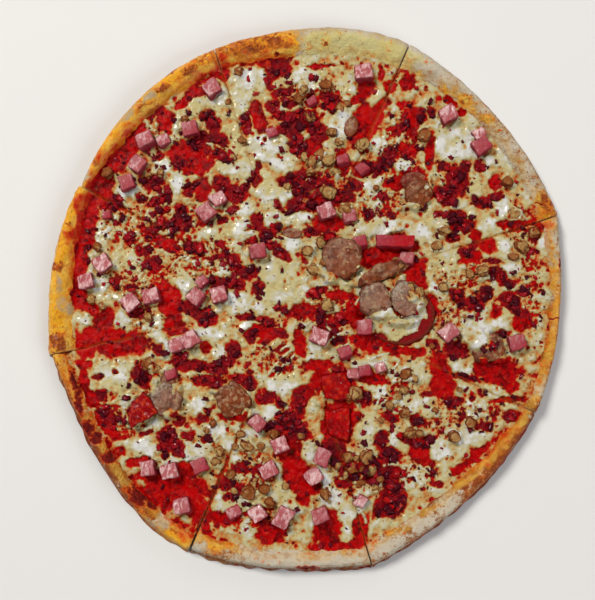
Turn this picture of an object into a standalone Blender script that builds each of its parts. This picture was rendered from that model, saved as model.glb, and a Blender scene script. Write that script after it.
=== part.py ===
"""A 14 inch meat pizza, cut into eight slices that still lie together.

Metres, +Z up. The origin is under the middle of the pizza, on the surface it rests on.
Each slice is a crust wedge with its raised rim and, on it, a sauce and cheese layer into which
sausage crumbles and bacon bits are baked. Ham dice, sausage slices and pepper pieces lie on top.
"""

import math
import random

import bmesh
import bpy
from mathutils import Euler, Matrix, Vector, noise
from mathutils.bvhtree import BVHTree

MM = 0.001

# Crust.
CUT_HUB = (-6.7 * MM, 0.7 * MM)     # where the four roller cuts cross
CUT_WIDTH = 1.0 * MM                # gap between neighbouring slices
TIP_RADIUS = 3.2 * MM               # each slice ends this far from the hub
BASE_TOP = 4.5 * MM                 # dough under the toppings
RIM_HEIGHT = 12.6 * MM              # crown of the raised rim
RIM_LUMPS = 1.1 * MM                # how far the crown rises and sinks along the rim
LUMP_LENGTH = 24 * MM
CRUST_STEPS = 9                     # facets across a slice

# One row a slice, counter-clockwise from the right: the bearing of its first cut at the edge of
# the crust, the outer radius at that cut, at one and two thirds of the way and at the next cut
# (mm), the width of the rim at the first cut, half way and at the next cut (mm), and how far the
# thin lip at the bottom reaches beyond the rim's bulge (mm).
SLICES = (
    (18.75, (178.8, 177.4, 179.8, 186.1), (17.0, 15.5, 20.0), 0.8),
    (68.0, (186.1, 185.1, 181.8, 180.4), (21.0, 22.0, 17.0), 0.8),
    (110.0, (180.1, 177.4, 173.8, 169.4), (18.0, 16.0, 9.5), 0.8),
    (153.0, (171.4, 171.8, 172.8, 176.8), (14.0, 18.0, 22.0), 1.0),
    (192.0, (176.1, 174.4, 181.4, 186.8), (13.5, 16.0, 17.0), 2.8),
    (245.0, (186.4, 184.0, 182.1, 185.1), (20.0, 18.0, 18.0), 3.4),
    (284.0, (184.5, 175.4, 172.1, 171.8), (20.0, 18.5, 12.5), 2.2),
    (334.0, (171.8, 170.6, 171.8, 178.8), (13.0, 11.0, 15.0), 1.0),
)

# The rim's section from its inner foot over the crown and down the bulge, then the lip: how far
# across each of them, and how high as a share of the crown.
BULGE_SECTION = (
    (0.06, 0.55), (0.28, 0.84), (0.53, 1.0), (0.78, 0.93), (0.95, 0.68), (1.0, 0.42), (0.95, 0.2),
)
LIP_SECTION = ((0.5, 0.15), (1.0, 0.07), (0.8, 0.0))

# Sauce and cheese layer.
REST_GAP = 0.3 * MM                 # clear space between a piece and what it lies on
LAYER_THICKNESS = 3.4 * MM
LAYER_EDGE = 1.6 * MM               # thickness where the layer thins out at the rim
LAYER_RELIEF = 0.7 * MM
RELIEF_LENGTH = 13 * MM
LAYER_RINGS = 12                    # facets from tip to rim
LAYER_STEPS = 8                     # facets across a slice
RIM_CLEARANCE = 0.8 * MM            # between the layer's edge and the foot of the rim

# Sausage crumbles and bacon bits, baked into the layer in patches: middle of the patch (mm from
# the middle of the pizza, to the right and up), its radius (mm) and how many lie in it.
CRUMBLE_SIZE = (5.6 * MM, 8.4 * MM)
CRUMBLE_PATCHES = (
    (-4, 137, 7, 3), (13, 127, 12, 3), (9, 92, 8, 2), (37, 104, 4, 1), (19, 66, 10, 2),
    (47, 75, 4, 1), (79, 109, 4, 1), (5, 21, 4, 1), (-105, -42, 4, 1), (-47, -94, 13, 4),
    (-29, -130, 10, 3), (13, -129, 4, 1), (33, -61, 4, 1), (65, -61, 13, 5), (69, -88, 4, 1),
    (35, -108, 11, 4), (139, 58, 3, 1), (134, 79, 4, 1), (92, 47, 4, 1), (141, 33, 7, 2),
    (117, 21, 4, 1), (105, -85, 9, 2),
)
BACON_SIZE = (3.6 * MM, 6.0 * MM)
BACON_PATCHES = (
    (-21, 157, 8, 3), (-40, 119, 10, 4), (-11, 122, 12, 4), (-33, 82, 10, 4), (-77, 101, 13, 5),
    (-49, 95, 8, 2), (-70, 74, 7, 2), (-77, 37, 6, 2), (-41, 20, 8, 3), (-17, 32, 8, 3),
    (-42, -10, 7, 2), (-27, -12, 9, 3), (-14, -5, 6, 2), (-79, -4, 6, 2), (25, 69, 7, 2),
    (101, 78, 10, 5), (113, 45, 9, 4), (120, 36, 8, 3), (133, 15, 7, 3), (137, 1, 8, 3),
    (105, -51, 12, 5), (-25, -65, 9, 3), (-70, -77, 8, 3), (-79, -91, 8, 3), (-91, -95, 10, 4),
    (-40, -79, 6, 2), (-11, -103, 13, 6), (9, -71, 7, 3), (66, -79, 8, 3), (49, -97, 8, 3),
    (59, -132, 14, 6), (81, -132, 5, 2), (-123, 94, 8, 3), (-120, -13, 9, 3), (45, 120, 8, 3),
    (100, 8, 8, 3), (-44, -50, 8, 2), (40, -135, 6, 2), (100, 110, 6, 2), (-139, 21, 4, 2),
)

# Ham dice: the middle of each (mm), how far it is turned (degrees) and its length.
HAM_SIDE = 10.0 * MM
HAM_SHOWS = 6.4 * MM                # how much of a die stands out of the cheese
HAM_LEAN = ((-16, -3), (-9, 5))     # range of each die's lean about X and about Y (degrees)
HAM_DICE = (
    (-64, 144, 38, 10.5), (-76.7, 114, 12, 10.5), (-106.7, 106, 30, 11), (-112, 90, 55, 10),
    (-118.7, 78, 20, 10), (-66.7, 58, 40, 11), (-135.3, 24.3, 35, 10.5), (-146.7, 12.3, 15, 10),
    (-32, 32.7, 10, 11), (38.7, 152.7, 5, 11), (96.7, 126, 25, 11), (120, 105.3, 35, 11),
    (13.3, 59.3, 20, 11), (-72.7, 2, 50, 11), (-58, 3.3, 15, 10.5), (-76.7, -26, 30, 11.5),
    (-116.7, -1.3, 40, 11), (-32, -82, 45, 10), (-17.3, -96, 25, 10.5),
    (-24.7, -113.3, 30, 12), (-104.7, -111.3, 10, 10), (-90.7, -113.3, 12, 11),
    (-82.7, -137.3, 10, 11), (-32, -142, 35, 10), (-15.3, -144, 60, 14), (9.3, -142.7, 20, 10.5),
    (5.3, -117.3, 40, 11), (11.3, -104, 65, 11), (9.3, -24, 160, 11.5), (39.3, -18, 5, 10),
    (94.7, -21.3, 40, 12), (140, -28, 15, 11), (59.3, 38.7, 178, 25),
)

# Sausage slices: middle (mm), half length and half width (mm), turn, and tilt about the length.
SAUSAGE_THICKNESS = 2.8 * MM
SAUSAGE_ROUNDING = 0.8 * MM
SAUSAGE_SIDES = 18
SAUSAGE_SLICES = (
    (24.3, 28.7, 12.6, 12.2, 0, 4), (49.3, 18.3, 16.2, 6.0, 27, 8), (46, 0.3, 12.0, 11.6, 10, 0),
    (66.3, 1.3, 11.6, 11.2, 90, 8), (-49, -66, 12.0, 11.6, 0, 3), (-93.3, -65.3, 10.6, 10.2, 0, 3),
    (121.5, -32.5, 11.4, 9.4, 20, 3), (74.7, 71.3, 9.6, 9.0, 0, 3),
)

# Flat red pieces, two of pepper and one wedge of pepperoni: middle (mm), length and width (mm),
# and turn.
PEPPER_THICKNESS = 2.2 * MM
PEPPER_PIECES = (
    ("pepper_piece_1", 18.7, -57, 20, 19, 12), ("pepper_piece_2", 22.7, -80, 20, 16, -15),
    ("pepperoni_wedge", -110.5, -71.5, 23, 13, 62),
)

WELD = 0.01 * MM
SEED = 14


def material(name, colour, roughness):
    """A plain material of one colour."""
    made = bpy.data.materials.new(name)
    made.use_nodes = True
    shader = made.node_tree.nodes["Principled BSDF"]
    shader.inputs["Base Color"].default_value = (*colour, 1)
    shader.inputs["Roughness"].default_value = roughness
    shader.inputs["Metallic"].default_value = 0
    return made


def add_object(name, mesh, collection, finish):
    """Turn a bmesh into a named object of the collection."""
    data = bpy.data.meshes.new(name)
    mesh.to_mesh(data)
    mesh.free()
    data.materials.append(finish)
    made = bpy.data.objects.new(name, data)
    collection.objects.link(made)
    return made


def through(values, share):
    """The smooth curve through evenly spaced values, at a share of its length."""
    last = len(values) - 1
    total = 0.0
    for i, value in enumerate(values):
        weight = 1.0
        for j in range(last + 1):
            if j != i:
                weight *= (share * last - j) / (i - j)
        total += value * weight
    return total


class Slice:
    """One eighth of the pizza, between two straight cuts that meet at the hub."""

    def __init__(self, number):
        self.number = number
        self.bearing, self.radii, self.rims, self.lip = SLICES[number]
        following = SLICES[(number + 1) % len(SLICES)][0]
        self.span = (following - self.bearing) % 360

    def reach(self, share):
        """Direction from the hub and distance to the crust's edge, at a share of the way across."""
        angle = math.radians(self.bearing + share * self.span)
        radius = through(self.radii, share) * MM
        edge = Vector((radius * math.cos(angle), radius * math.sin(angle))) - Vector(CUT_HUB)
        return math.atan2(edge.y, edge.x), edge.length

    def point(self, distance, share, height):
        """A point at a distance from the hub, half a cut's width clear of both cuts."""
        angle, _ = self.reach(share)
        inset = math.asin(CUT_WIDTH / 2 / distance)
        angle += inset * (1 - 2 * share)
        x = CUT_HUB[0] + distance * math.cos(angle)
        y = CUT_HUB[1] + distance * math.sin(angle)
        return Vector((x, y, height))

    def rim_foot(self, share):
        """Distance from the hub to the foot of the raised rim."""
        _, edge = self.reach(share)
        return edge - through(self.rims, share) * MM

    def clearance(self, x, y):
        """How far a point lies from the slice's two cuts and from the rim; negative outside them."""
        offset = Vector((x, y)) - Vector(CUT_HUB)
        start, _ = self.reach(0)
        end, _ = self.reach(1)
        turn = (math.atan2(offset.y, offset.x) - start) % math.tau
        width = (end - start) % math.tau
        if turn > width:
            return -1.0, 1.0
        side = offset.length * min(math.sin(turn), math.sin(width - turn)) - CUT_WIDTH / 2
        return side, self.rim_foot(turn / width) - RIM_CLEARANCE - offset.length


def swept_solid(section, steps, place):
    """A grid closed round a section, carried from one cut to the next, its two cut faces capped."""
    mesh = bmesh.new()
    count = len(section)
    bmesh.ops.create_grid(mesh, x_segments=count, y_segments=steps, size=0.5)
    for vertex in mesh.verts:
        corner = section[round((vertex.co.x + 0.5) * count) % count]
        vertex.co = place(corner, vertex.co.y + 0.5)
    bmesh.ops.remove_doubles(mesh, verts=mesh.verts, dist=WELD)
    open_edges = [edge for edge in mesh.edges if edge.is_boundary]
    bmesh.ops.holes_fill(mesh, edges=open_edges, sides=0)
    bmesh.ops.recalc_face_normals(mesh, faces=mesh.faces)
    return mesh


def crust(piece, collection, finish):
    """The dough of one slice: a flat wedge with the raised, lumpy rim along its outer edge."""
    lip = [("lip", across, height) for across, height in reversed(LIP_SECTION)]
    bulge = [("bulge", across, height) for across, height in reversed(BULGE_SECTION)]
    under = [("base", 0.0, 0.0), ("base", 1.0, 0.0)]
    section = under + lip + bulge + [("base", 1.0, 1.0), ("base", 0.0, 1.0)]

    def place(corner, share):
        zone, across, height = corner
        foot = piece.rim_foot(share)
        _, edge = piece.reach(share)
        shoulder = edge - piece.lip * MM
        if zone == "base":
            return piece.point(TIP_RADIUS + across * (foot - TIP_RADIUS), share, height * BASE_TOP)
        spot = piece.point(edge, share, 0) / LUMP_LENGTH
        lump = noise.noise(Vector((spot.x, spot.y, piece.number))) * RIM_LUMPS
        level = height * (RIM_HEIGHT + 2 * lump)
        start, end = (shoulder, edge) if zone == "lip" else (foot, shoulder)
        return piece.point(start + across * (end - start), share, level)

    mesh = swept_solid(section, CRUST_STEPS, place)
    return add_object(f"crust_{piece.number + 1}", mesh, collection, finish)


def layer(piece, collection, finish):
    """The bare sauce and cheese layer of one slice, uneven on top."""
    bottom = BASE_TOP + REST_GAP
    under = [(0.0, "under"), (0.5, "under"), (1.0, "under")]
    over = [(ring / LAYER_RINGS, "over") for ring in range(LAYER_RINGS, -1, -1)]
    section = under + over

    def place(corner, share):
        across, side = corner
        front = piece.rim_foot(share) - RIM_CLEARANCE
        spot = piece.point(TIP_RADIUS + across * (front - TIP_RADIUS), share, bottom)
        if side == "over":
            wave = noise.noise(spot / RELIEF_LENGTH) * LAYER_RELIEF
            thin = max(0.0, across - 0.9) / 0.1
            spot.z += LAYER_THICKNESS + wave - thin * (LAYER_THICKNESS - LAYER_EDGE)
        return spot

    mesh = swept_solid(section, LAYER_STEPS, place)
    return add_object(f"topping_{piece.number + 1}", mesh, collection, finish)


def tree_of(piece):
    """A search tree of an object's faces, in world space."""
    mesh = bmesh.new()
    mesh.from_mesh(piece.data)
    mesh.transform(piece.matrix_world)
    tree = BVHTree.FromBMesh(mesh)
    mesh.free()
    return tree


def height_at(trees, x, y):
    """Height of the topmost face under a point, or None over a cut."""
    heights = []
    for tree in trees:
        hit, _, _, _ = tree.ray_cast(Vector((x, y, 0.1)), Vector((0, 0, -1)))
        if hit:
            heights.append(hit.z)
    return max(heights, default=None)


def keep_off_rim(piece, slices):
    """Move a piece towards the middle until all of it lies inside the rim."""
    bpy.context.view_layer.update()
    inward = -piece.location.normalized()
    beyond = 0.0
    for vertex in piece.data.vertices:
        corner = piece.matrix_world @ vertex.co
        beyond = min(beyond, min(part.clearance(corner.x, corner.y)[1] for part in slices))
    piece.location -= inward * beyond


def rest(piece, trees):
    """Lower a piece until it lies just clear of everything under it."""
    bpy.context.view_layer.update()
    corners = [piece.matrix_world @ vertex.co for vertex in piece.data.vertices]
    middle = sum(corners, Vector()) / len(corners)
    lowest = min(corner.z for corner in corners)
    lift = -1.0
    for corner in corners:
        for share in (0, 0.4, 0.8):
            spot = corner.lerp(Vector((middle.x, middle.y, corner.z)), share)
            support = height_at(trees, spot.x, spot.y)
            if support is not None:
                lift = max(lift, support - (lowest if share else spot.z))
    piece.location.z += lift + REST_GAP
    bpy.context.view_layer.update()
    trees.append(tree_of(piece))


def rough(mesh, draw, amount):
    """Push every corner of a small piece a little way at random."""
    for vertex in mesh.verts:
        vertex.co += Vector([draw.uniform(-amount, amount) for _ in range(3)])


def ham_dice(collection, finish, slices, trees, draw):
    """Ham cut into dice, each a little out of square, leaning, and sunk into the cheese.

    The sunk part is cut off level, just clear of the highest point of what lies under it.
    """
    for number, (x, y, turn, length) in enumerate(HAM_DICE, 1):
        mesh = bmesh.new()
        thin = 0.78 if length * MM > 2 * HAM_SIDE else 1.0
        sides = (length * MM, thin * HAM_SIDE, HAM_SIDE, 1)
        bmesh.ops.create_cube(mesh, size=1, matrix=Matrix.Diagonal(sides))
        rough(mesh, draw, 0.45 * MM)
        lean = [math.radians(draw.uniform(*limits)) for limits in HAM_LEAN]
        pose = Euler((*lean, 0)).to_matrix() @ Matrix.Rotation(math.radians(turn), 3, "Z")
        bmesh.ops.rotate(mesh, matrix=pose, verts=mesh.verts)
        bmesh.ops.triangulate(mesh, faces=mesh.faces)
        die = add_object(f"ham_die_{number:02d}", mesh, collection, finish)
        die.location = (x * MM, y * MM, 0)
        keep_off_rim(die, slices)
        bpy.context.view_layer.update()
        corners = [die.matrix_world @ vertex.co for vertex in die.data.vertices]
        spots = [corner.lerp(die.location, share) for corner in corners for share in (0, 0.5, 1)]
        supports = [height_at(trees, spot.x, spot.y) for spot in spots]
        support = max(height for height in supports if height is not None)
        top = max(corner.z for corner in corners)
        die.location.z = support + HAM_SHOWS - top
        level = support + REST_GAP - die.location.z
        cut = bmesh.new()
        cut.from_mesh(die.data)
        whole = cut.verts[:] + cut.edges[:] + cut.faces[:]
        bmesh.ops.bisect_plane(cut, geom=whole, plane_co=(0, 0, level), plane_no=(0, 0, 1),
                               clear_inner=True)
        bmesh.ops.holes_fill(cut, edges=[edge for edge in cut.edges if edge.is_boundary], sides=0)
        bmesh.ops.recalc_face_normals(cut, faces=cut.faces)
        cut.to_mesh(die.data)
        cut.free()


def sausage_slices(collection, finish, trees):
    """Thin sausage slices with a rounded, slightly raised edge."""
    for number, (x, y, long, wide, turn, tilt) in enumerate(SAUSAGE_SLICES, 1):
        mesh = bmesh.new()
        bmesh.ops.create_cone(mesh, cap_ends=True, segments=SAUSAGE_SIDES, radius1=MM, radius2=MM,
                              depth=SAUSAGE_THICKNESS)
        for vertex in mesh.verts:
            angle = math.atan2(vertex.co.y, vertex.co.x)
            vertex.co.x *= long * (1 + 0.03 * math.sin(3 * angle + number))
            vertex.co.y *= wide * (1 + 0.03 * math.sin(2 * angle + number))
        level = [edge for edge in mesh.edges if abs(edge.verts[0].co.z - edge.verts[1].co.z) < WELD]
        bmesh.ops.bevel(mesh, geom=level, offset=SAUSAGE_ROUNDING, segments=1, affect="EDGES")
        bmesh.ops.triangulate(mesh, faces=mesh.faces)
        made = add_object(f"sausage_slice_{number}", mesh, collection, finish)
        made.location = (x * MM, y * MM, 0)
        made.rotation_euler = Euler((math.radians(tilt), 0, math.radians(turn)))
        rest(made, trees)


def pepper_pieces(collection, finish, trees, draw):
    """Flat, uneven pieces of pepper, and one of pepperoni."""
    for name, x, y, long, wide, turn in PEPPER_PIECES:
        mesh = bmesh.new()
        bmesh.ops.create_cone(mesh, cap_ends=True, segments=8, radius1=0.5, radius2=0.46,
                              depth=PEPPER_THICKNESS)
        for vertex in mesh.verts:
            stretch = 1 + draw.uniform(-0.06, 0.06)
            vertex.co.x *= long * MM * stretch
            vertex.co.y *= wide * MM * stretch
        bmesh.ops.triangulate(mesh, faces=mesh.faces)
        made = add_object(name, mesh, collection, finish)
        made.location = (x * MM, y * MM, 0)
        made.rotation_euler = Euler((0, 0, math.radians(turn)))
        rest(made, trees)


def footprints(collection):
    """Middle and reach of each piece that lies on the layer, seen from above."""
    found = []
    for piece in collection.objects:
        if piece.name.startswith(("crust", "topping")):
            continue
        corners = [piece.matrix_world @ vertex.co for vertex in piece.data.vertices]
        found.append([Vector((corner.x, corner.y)) for corner in corners])
    return found


def clear_of(spot, reach, pieces):
    """Whether a round bit stays clear of every piece that lies on the layer."""
    for corners in pieces:
        middle = sum(corners, Vector((0, 0))) / len(corners)
        outward = spot - middle
        if outward.length < WELD:
            return False
        outward.normalize()
        if outward.dot(spot - middle) - max(outward.dot(c - middle) for c in corners) < reach + REST_GAP:
            return False
    return True


def scattered(patches, sizes, pieces, slices, draw, taken):
    """Places for small bits: patch by patch, clear of the cuts, the larger pieces and each other."""
    found = []
    for x, y, spread, count in patches:
        for _ in range(count):
            for _ in range(40):
                angle = draw.uniform(0, math.tau)
                away = spread * MM * math.sqrt(draw.random())
                spot = Vector((x * MM + away * math.cos(angle), y * MM + away * math.sin(angle)))
                size = draw.uniform(*sizes)
                home = max(slices, key=lambda part: part.clearance(*spot)[0])
                near = [other for other, reach in taken if (other - spot).length < 0.8 * (reach + size / 2)]
                room = min(home.clearance(*spot))
                if room > size * 0.62 and not near and clear_of(spot, size * 0.62, pieces):
                    taken.append((spot, size / 2))
                    found.append((home.number, spot, size))
                    break
    return found


def crumble(size, draw):
    """A rough lump of sausage meat."""
    mesh = bmesh.new()
    bmesh.ops.create_icosphere(mesh, subdivisions=1, radius=size / 2)
    rough(mesh, draw, size * 0.06)
    bmesh.ops.scale(mesh, vec=(1, draw.uniform(0.75, 1), 0.8), verts=mesh.verts)
    return mesh


def bacon_bit(size, draw):
    """A short, crooked bit of bacon."""
    mesh = bmesh.new()
    sides = Matrix.Diagonal((size, size * draw.uniform(0.5, 0.8), size * 0.5, 1))
    bmesh.ops.create_cube(mesh, size=1, matrix=sides)
    rough(mesh, draw, size * 0.08)
    bmesh.ops.triangulate(mesh, faces=mesh.faces)
    return mesh


def bake_in(base, bits):
    """Join the bits to the layer with one Boolean union, apply it and remove the loose bits."""
    union = base.modifiers.new("baked_in", "BOOLEAN")
    union.operation = "UNION"
    union.operand_type = "COLLECTION"
    union.solver = "EXACT"
    union.collection = bits
    bpy.context.view_layer.update()
    graph = bpy.context.evaluated_depsgraph_get()
    joined = bpy.data.meshes.new_from_object(base.evaluated_get(graph))
    base.modifiers.clear()
    base.data = joined
    for bit in list(bits.objects):
        bpy.data.objects.remove(bit)


def baked_bits(layers, slices, pieces, bits, finish):
    """Fuse the crumbles and bacon bits of each slice to its layer."""
    draw = random.Random(SEED)
    taken = []
    kinds = (
        (crumble, scattered(CRUMBLE_PATCHES, CRUMBLE_SIZE, pieces, slices, draw, taken), 0.16),
        (bacon_bit, scattered(BACON_PATCHES, BACON_SIZE, pieces, slices, draw, taken), 0.10),
    )
    for number, base in enumerate(layers):
        tree = tree_of(base)
        for make, places, rise in kinds:
            for home, spot, size in places:
                if home != number:
                    continue
                bit = add_object("bit", make(size, draw), bits, finish)
                bit.location = (*spot, height_at([tree], *spot) + rise * size)
                bit.rotation_euler.z = draw.uniform(0, math.tau)
        bake_in(base, bits)


def main():
    for old in list(bpy.data.objects):
        bpy.data.objects.remove(old)
    scene = bpy.context.scene.collection
    pizza = bpy.data.collections.new("meat_pizza")
    bits = bpy.data.collections.new("bits_to_bake_in")
    scene.children.link(pizza)
    scene.children.link(bits)
    draw = random.Random(SEED)
    dough = material("baked_dough", (0.55, 0.33, 0.13), 0.75)
    cheese = material("sauce_and_cheese", (0.5, 0.2, 0.12), 0.4)
    ham = material("ham", (0.45, 0.2, 0.19), 0.45)
    sausage = material("sausage", (0.22, 0.11, 0.08), 0.5)
    pepper = material("red_pepper", (0.38, 0.01, 0.01), 0.35)

    slices = [Slice(number) for number in range(len(SLICES))]
    for piece in slices:
        crust(piece, pizza, dough)
    layers = [layer(piece, pizza, cheese) for piece in slices]
    bpy.context.view_layer.update()
    trees = [tree_of(base) for base in layers]
    sausage_slices(pizza, sausage, trees)
    pepper_pieces(pizza, pepper, trees, draw)
    ham_dice(pizza, ham, slices, trees, draw)
    baked_bits(layers, slices, footprints(pizza), bits, cheese)
    bpy.data.collections.remove(bits)


if __name__ == "__main__":
    main()
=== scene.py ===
"""Dresses the meat pizza: baked crust, sauce, melted cheese and everything that lies on it.

Places and sizes in the tables are millimetres from the middle of the pizza, x to the right and y
up. Heights start at the floor that the pizza rests on.
"""

import math
import random
from contextlib import contextmanager

import bpy
import numpy as np
from bpy.props import FloatProperty, FloatVectorProperty, IntProperty, PointerProperty
from mathutils import Euler, Matrix, Vector


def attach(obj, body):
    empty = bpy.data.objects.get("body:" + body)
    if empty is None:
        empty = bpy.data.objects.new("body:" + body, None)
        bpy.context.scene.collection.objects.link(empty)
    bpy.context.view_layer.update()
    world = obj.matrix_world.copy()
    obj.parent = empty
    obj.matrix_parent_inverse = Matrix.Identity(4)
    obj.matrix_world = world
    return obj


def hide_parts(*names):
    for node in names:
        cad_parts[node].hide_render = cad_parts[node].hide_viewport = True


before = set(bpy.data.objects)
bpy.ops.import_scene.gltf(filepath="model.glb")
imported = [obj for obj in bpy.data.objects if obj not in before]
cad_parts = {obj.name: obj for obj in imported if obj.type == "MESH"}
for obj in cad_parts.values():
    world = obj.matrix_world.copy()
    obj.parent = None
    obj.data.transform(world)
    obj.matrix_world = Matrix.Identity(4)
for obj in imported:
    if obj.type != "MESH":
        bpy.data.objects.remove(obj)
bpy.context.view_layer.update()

bl_info = {
    "name": "Meat Pizza",
    "version": (1, 0, 0),
    "blender": (4, 5, 0),
    "location": "View3D > Sidebar > Meat Pizza",
    "description": "Models a cut meat pizza: crust, sauce, cheese, ham, sausage, pepper and bacon",
    "category": "Object",
}

MM = 0.001
FULL_TURN = 6.28                # radians

# ---------------------------------------------------------------------------------------------
# The cut pizza
# ---------------------------------------------------------------------------------------------

HUB = (-6.7, 0.7)               # where the four roller cuts cross
TIP = 3.2                       # each crust ends this far from the hub
BASE_TOP = 4.5                  # dough under the toppings
SHEET_BOTTOM = 4.8

# One row a slice, counter-clockwise from the right: bearing of its first cut at the edge, outer
# radius at that cut, at one and two thirds of the way and at the next cut, rim width at the first
# cut, half way and at the next cut, and how far the thin lip reaches beyond the bulge.
SLICES = (
    (18.75, (178.8, 177.4, 179.8, 186.1), (17.0, 15.5, 20.0), 0.8),
    (68.0, (186.1, 185.1, 181.8, 180.4), (21.0, 22.0, 17.0), 0.8),
    (110.0, (180.1, 177.4, 173.8, 169.4), (18.0, 16.0, 9.5), 0.8),
    (153.0, (171.4, 171.8, 172.8, 176.8), (14.0, 18.0, 22.0), 1.0),
    (192.0, (176.1, 174.4, 181.4, 186.8), (13.5, 16.0, 17.0), 2.8),
    (245.0, (186.4, 184.0, 182.1, 185.1), (20.0, 18.0, 18.0), 3.4),
    (284.0, (184.5, 175.4, 172.1, 171.8), (20.0, 18.5, 12.5), 2.2),
    (334.0, (171.8, 170.6, 171.8, 178.8), (13.0, 11.0, 15.0), 1.0),
)

# One row a cut, in the order of SLICES: how wide it gapes at the crust, how deep a groove it
# leaves in the cheese, and how much sauce shows along it.
CUTS = (
    (0.7, 0.3, 0.2), (0.9, 0.6, 0.5), (0.6, 0.3, 0.1), (0.6, 0.3, 0.3),
    (0.7, 0.4, 0.3), (1.5, 0.7, 0.8), (0.8, 0.5, 0.4), (0.5, 0.3, 0.2),
)
GAP_INSIDE = 0.04               # width of a cut that cheese has closed again
GAP_OPENS = (135, 180)          # the gap widens between these distances from the hub

# The rim's section: across it from its inner foot, and height as a share of the crown.
RIM_SECTION = (
    (0.0, 0.42), (0.08, 0.53), (0.18, 0.66), (0.31, 0.80), (0.45, 0.91), (0.58, 0.98),
    (0.70, 1.0), (0.80, 0.97), (0.89, 0.87), (0.96, 0.68), (1.0, 0.44), (0.975, 0.27),
)
LIP_SECTION = ((0.35, 0.19), (0.75, 0.15), (1.0, 0.09), (0.92, 0.02), (0.5, 0.0))

# ---------------------------------------------------------------------------------------------
# What the oven did to the crust
# ---------------------------------------------------------------------------------------------

# By bearing: how golden (0 floury and pale, 1 orange-yellow), how much brown stipple, how dark
# the band along the outer edge, and how far sauce has stained the inner slope.
BAKE = (
    (0, 0.55, 0.80, 0.20, 0.40), (5, 0.50, 0.65, 0.20, 0.40), (10, 0.40, 0.55, 0.20, 0.35),
    (14, 0.20, 0.45, 0.20, 0.50), (17.5, 0.30, 0.50, 0.20, 0.80), (19, 0.80, 0.75, 0.20, 0.80),
    (22, 0.55, 0.80, 0.20, 0.60), (25, 0.30, 0.60, 0.30, 0.30), (31, 0.20, 0.50, 0.30, 0.10),
    (38, 0.20, 0.50, 0.30, 0.10), (44, 0.20, 0.55, 0.30, 0.15), (50, 0.30, 0.50, 0.30, 0.30),
    (53, 0.35, 0.40, 0.20, 0.40), (57, 0.25, 0.35, 0.20, 0.30), (62, 0.10, 0.20, 0.10, 0.20),
    (68, 0.15, 0.25, 0.10, 0.50), (72, 0.30, 0.10, 0.10, 0.30), (80, 0.25, 0.10, 0.10, 0.30),
    (86, 0.30, 0.25, 0.10, 0.20), (91, 0.35, 0.20, 0.20, 0.20), (93.5, 0.80, 0.60, 0.20, 0.40),
    (98, 0.95, 0.95, 0.20, 0.90), (105, 0.95, 0.85, 0.10, 0.70), (111, 1.00, 0.90, 0.20, 1.10),
    (116, 0.95, 0.60, 0.20, 0.80), (122, 0.95, 0.30, 0.20, 0.50), (127, 0.75, 0.45, 0.20, 0.50),
    (131, 0.85, 0.60, 0.20, 0.60), (137, 0.95, 0.35, 0.20, 0.80), (145, 1.00, 0.30, 0.20, 0.80),
    (149, 0.70, 0.30, 0.20, 0.80), (153, 0.95, 0.35, 0.20, 1.20), (158, 1.00, 0.35, 0.20, 1.15),
    (165, 1.00, 0.40, 0.20, 1.20), (170, 1.00, 0.40, 0.20, 0.80), (176, 0.95, 0.30, 0.10, 0.60),
    (182, 0.95, 0.25, 0.10, 0.40), (188, 0.95, 0.55, 0.10, 0.40), (193, 0.85, 0.75, 0.10, 0.70),
    (200, 0.40, 0.95, 0.40, 0.65), (206, 0.20, 0.95, 0.60, 0.65), (212, 0.15, 1.00, 0.70, 0.65),
    (218, 0.15, 0.95, 0.70, 0.60), (223, 0.15, 0.90, 0.70, 0.50), (229, 0.20, 0.90, 0.60, 0.60),
    (236, 0.60, 0.50, 0.50, 0.60), (243, 0.70, 0.30, 0.40, 0.90), (247, 0.55, 0.50, 0.40, 0.70),
    (252, 0.45, 0.70, 0.50, 0.50), (258, 0.15, 0.45, 0.70, 0.30), (266, 0.05, 0.25, 0.70, 0.20),
    (272, 0.15, 0.30, 0.70, 0.50), (280, 0.25, 0.45, 0.70, 0.60), (284, 0.30, 0.50, 0.70, 0.60),
    (288, 0.20, 0.60, 0.70, 0.30), (297, 0.30, 0.90, 0.70, 0.20), (304, 0.35, 0.95, 0.70, 0.20),
    (310, 0.50, 1.10, 0.70, 0.40), (318, 0.65, 1.10, 0.60, 0.60), (324, 0.65, 1.25, 0.60, 0.75),
    (331, 0.55, 1.10, 0.40, 0.65), (336, 0.45, 0.85, 0.30, 0.50), (341, 0.40, 0.70, 0.20, 0.50),
    (346, 0.60, 0.95, 0.30, 0.40), (352, 0.60, 0.95, 0.20, 0.40), (356, 0.60, 0.95, 0.20, 0.50),
    (360, 0.55, 0.80, 0.20, 0.40),
)
OILY = (58, 70, 88, 94)         # bearings where oily dough begins, is full, fades and is over

# Patches on the crust: middle, half length, half width and turn in degrees.
CRUST_ORANGE = (
    (162, 62, 6, 4, 60), (120, 121, 5, 4, 0), (106, 133, 5, 4, 0), (90, 137, 4, 5, 0),
    (76, 149, 4, 6, 20), (14, 171, 3, 3, 0), (-45, 166, 13, 5, 10), (-15, 169, 10, 5, 0),
    (-76, 152, 9, 5, 30), (-93, 140, 8, 5, 40), (-104, 127, 10, 5, 35), (-127, 103, 13, 8, 50),
    (-140, 92, 5, 5, 0), (-153, 66, 10, 7, 70), (-160, 38, 12, 6, 85), (-158, 25, 10, 6, 90),
    (-160, -24, 10, 8, 90), (-155, -57, 12, 5, 105), (-114, -140, 8, 4, 140),
    (-86, -153, 7, 4, 145), (-60, -158, 9, 6, 160), (-30, -163, 6, 3, 0), (55, -153, 6, 3, 20),
    (152, -28, 5, 7, 80), (157, 18, 7, 6, 90), (140, 80, 4, 5, 30),
)
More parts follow.
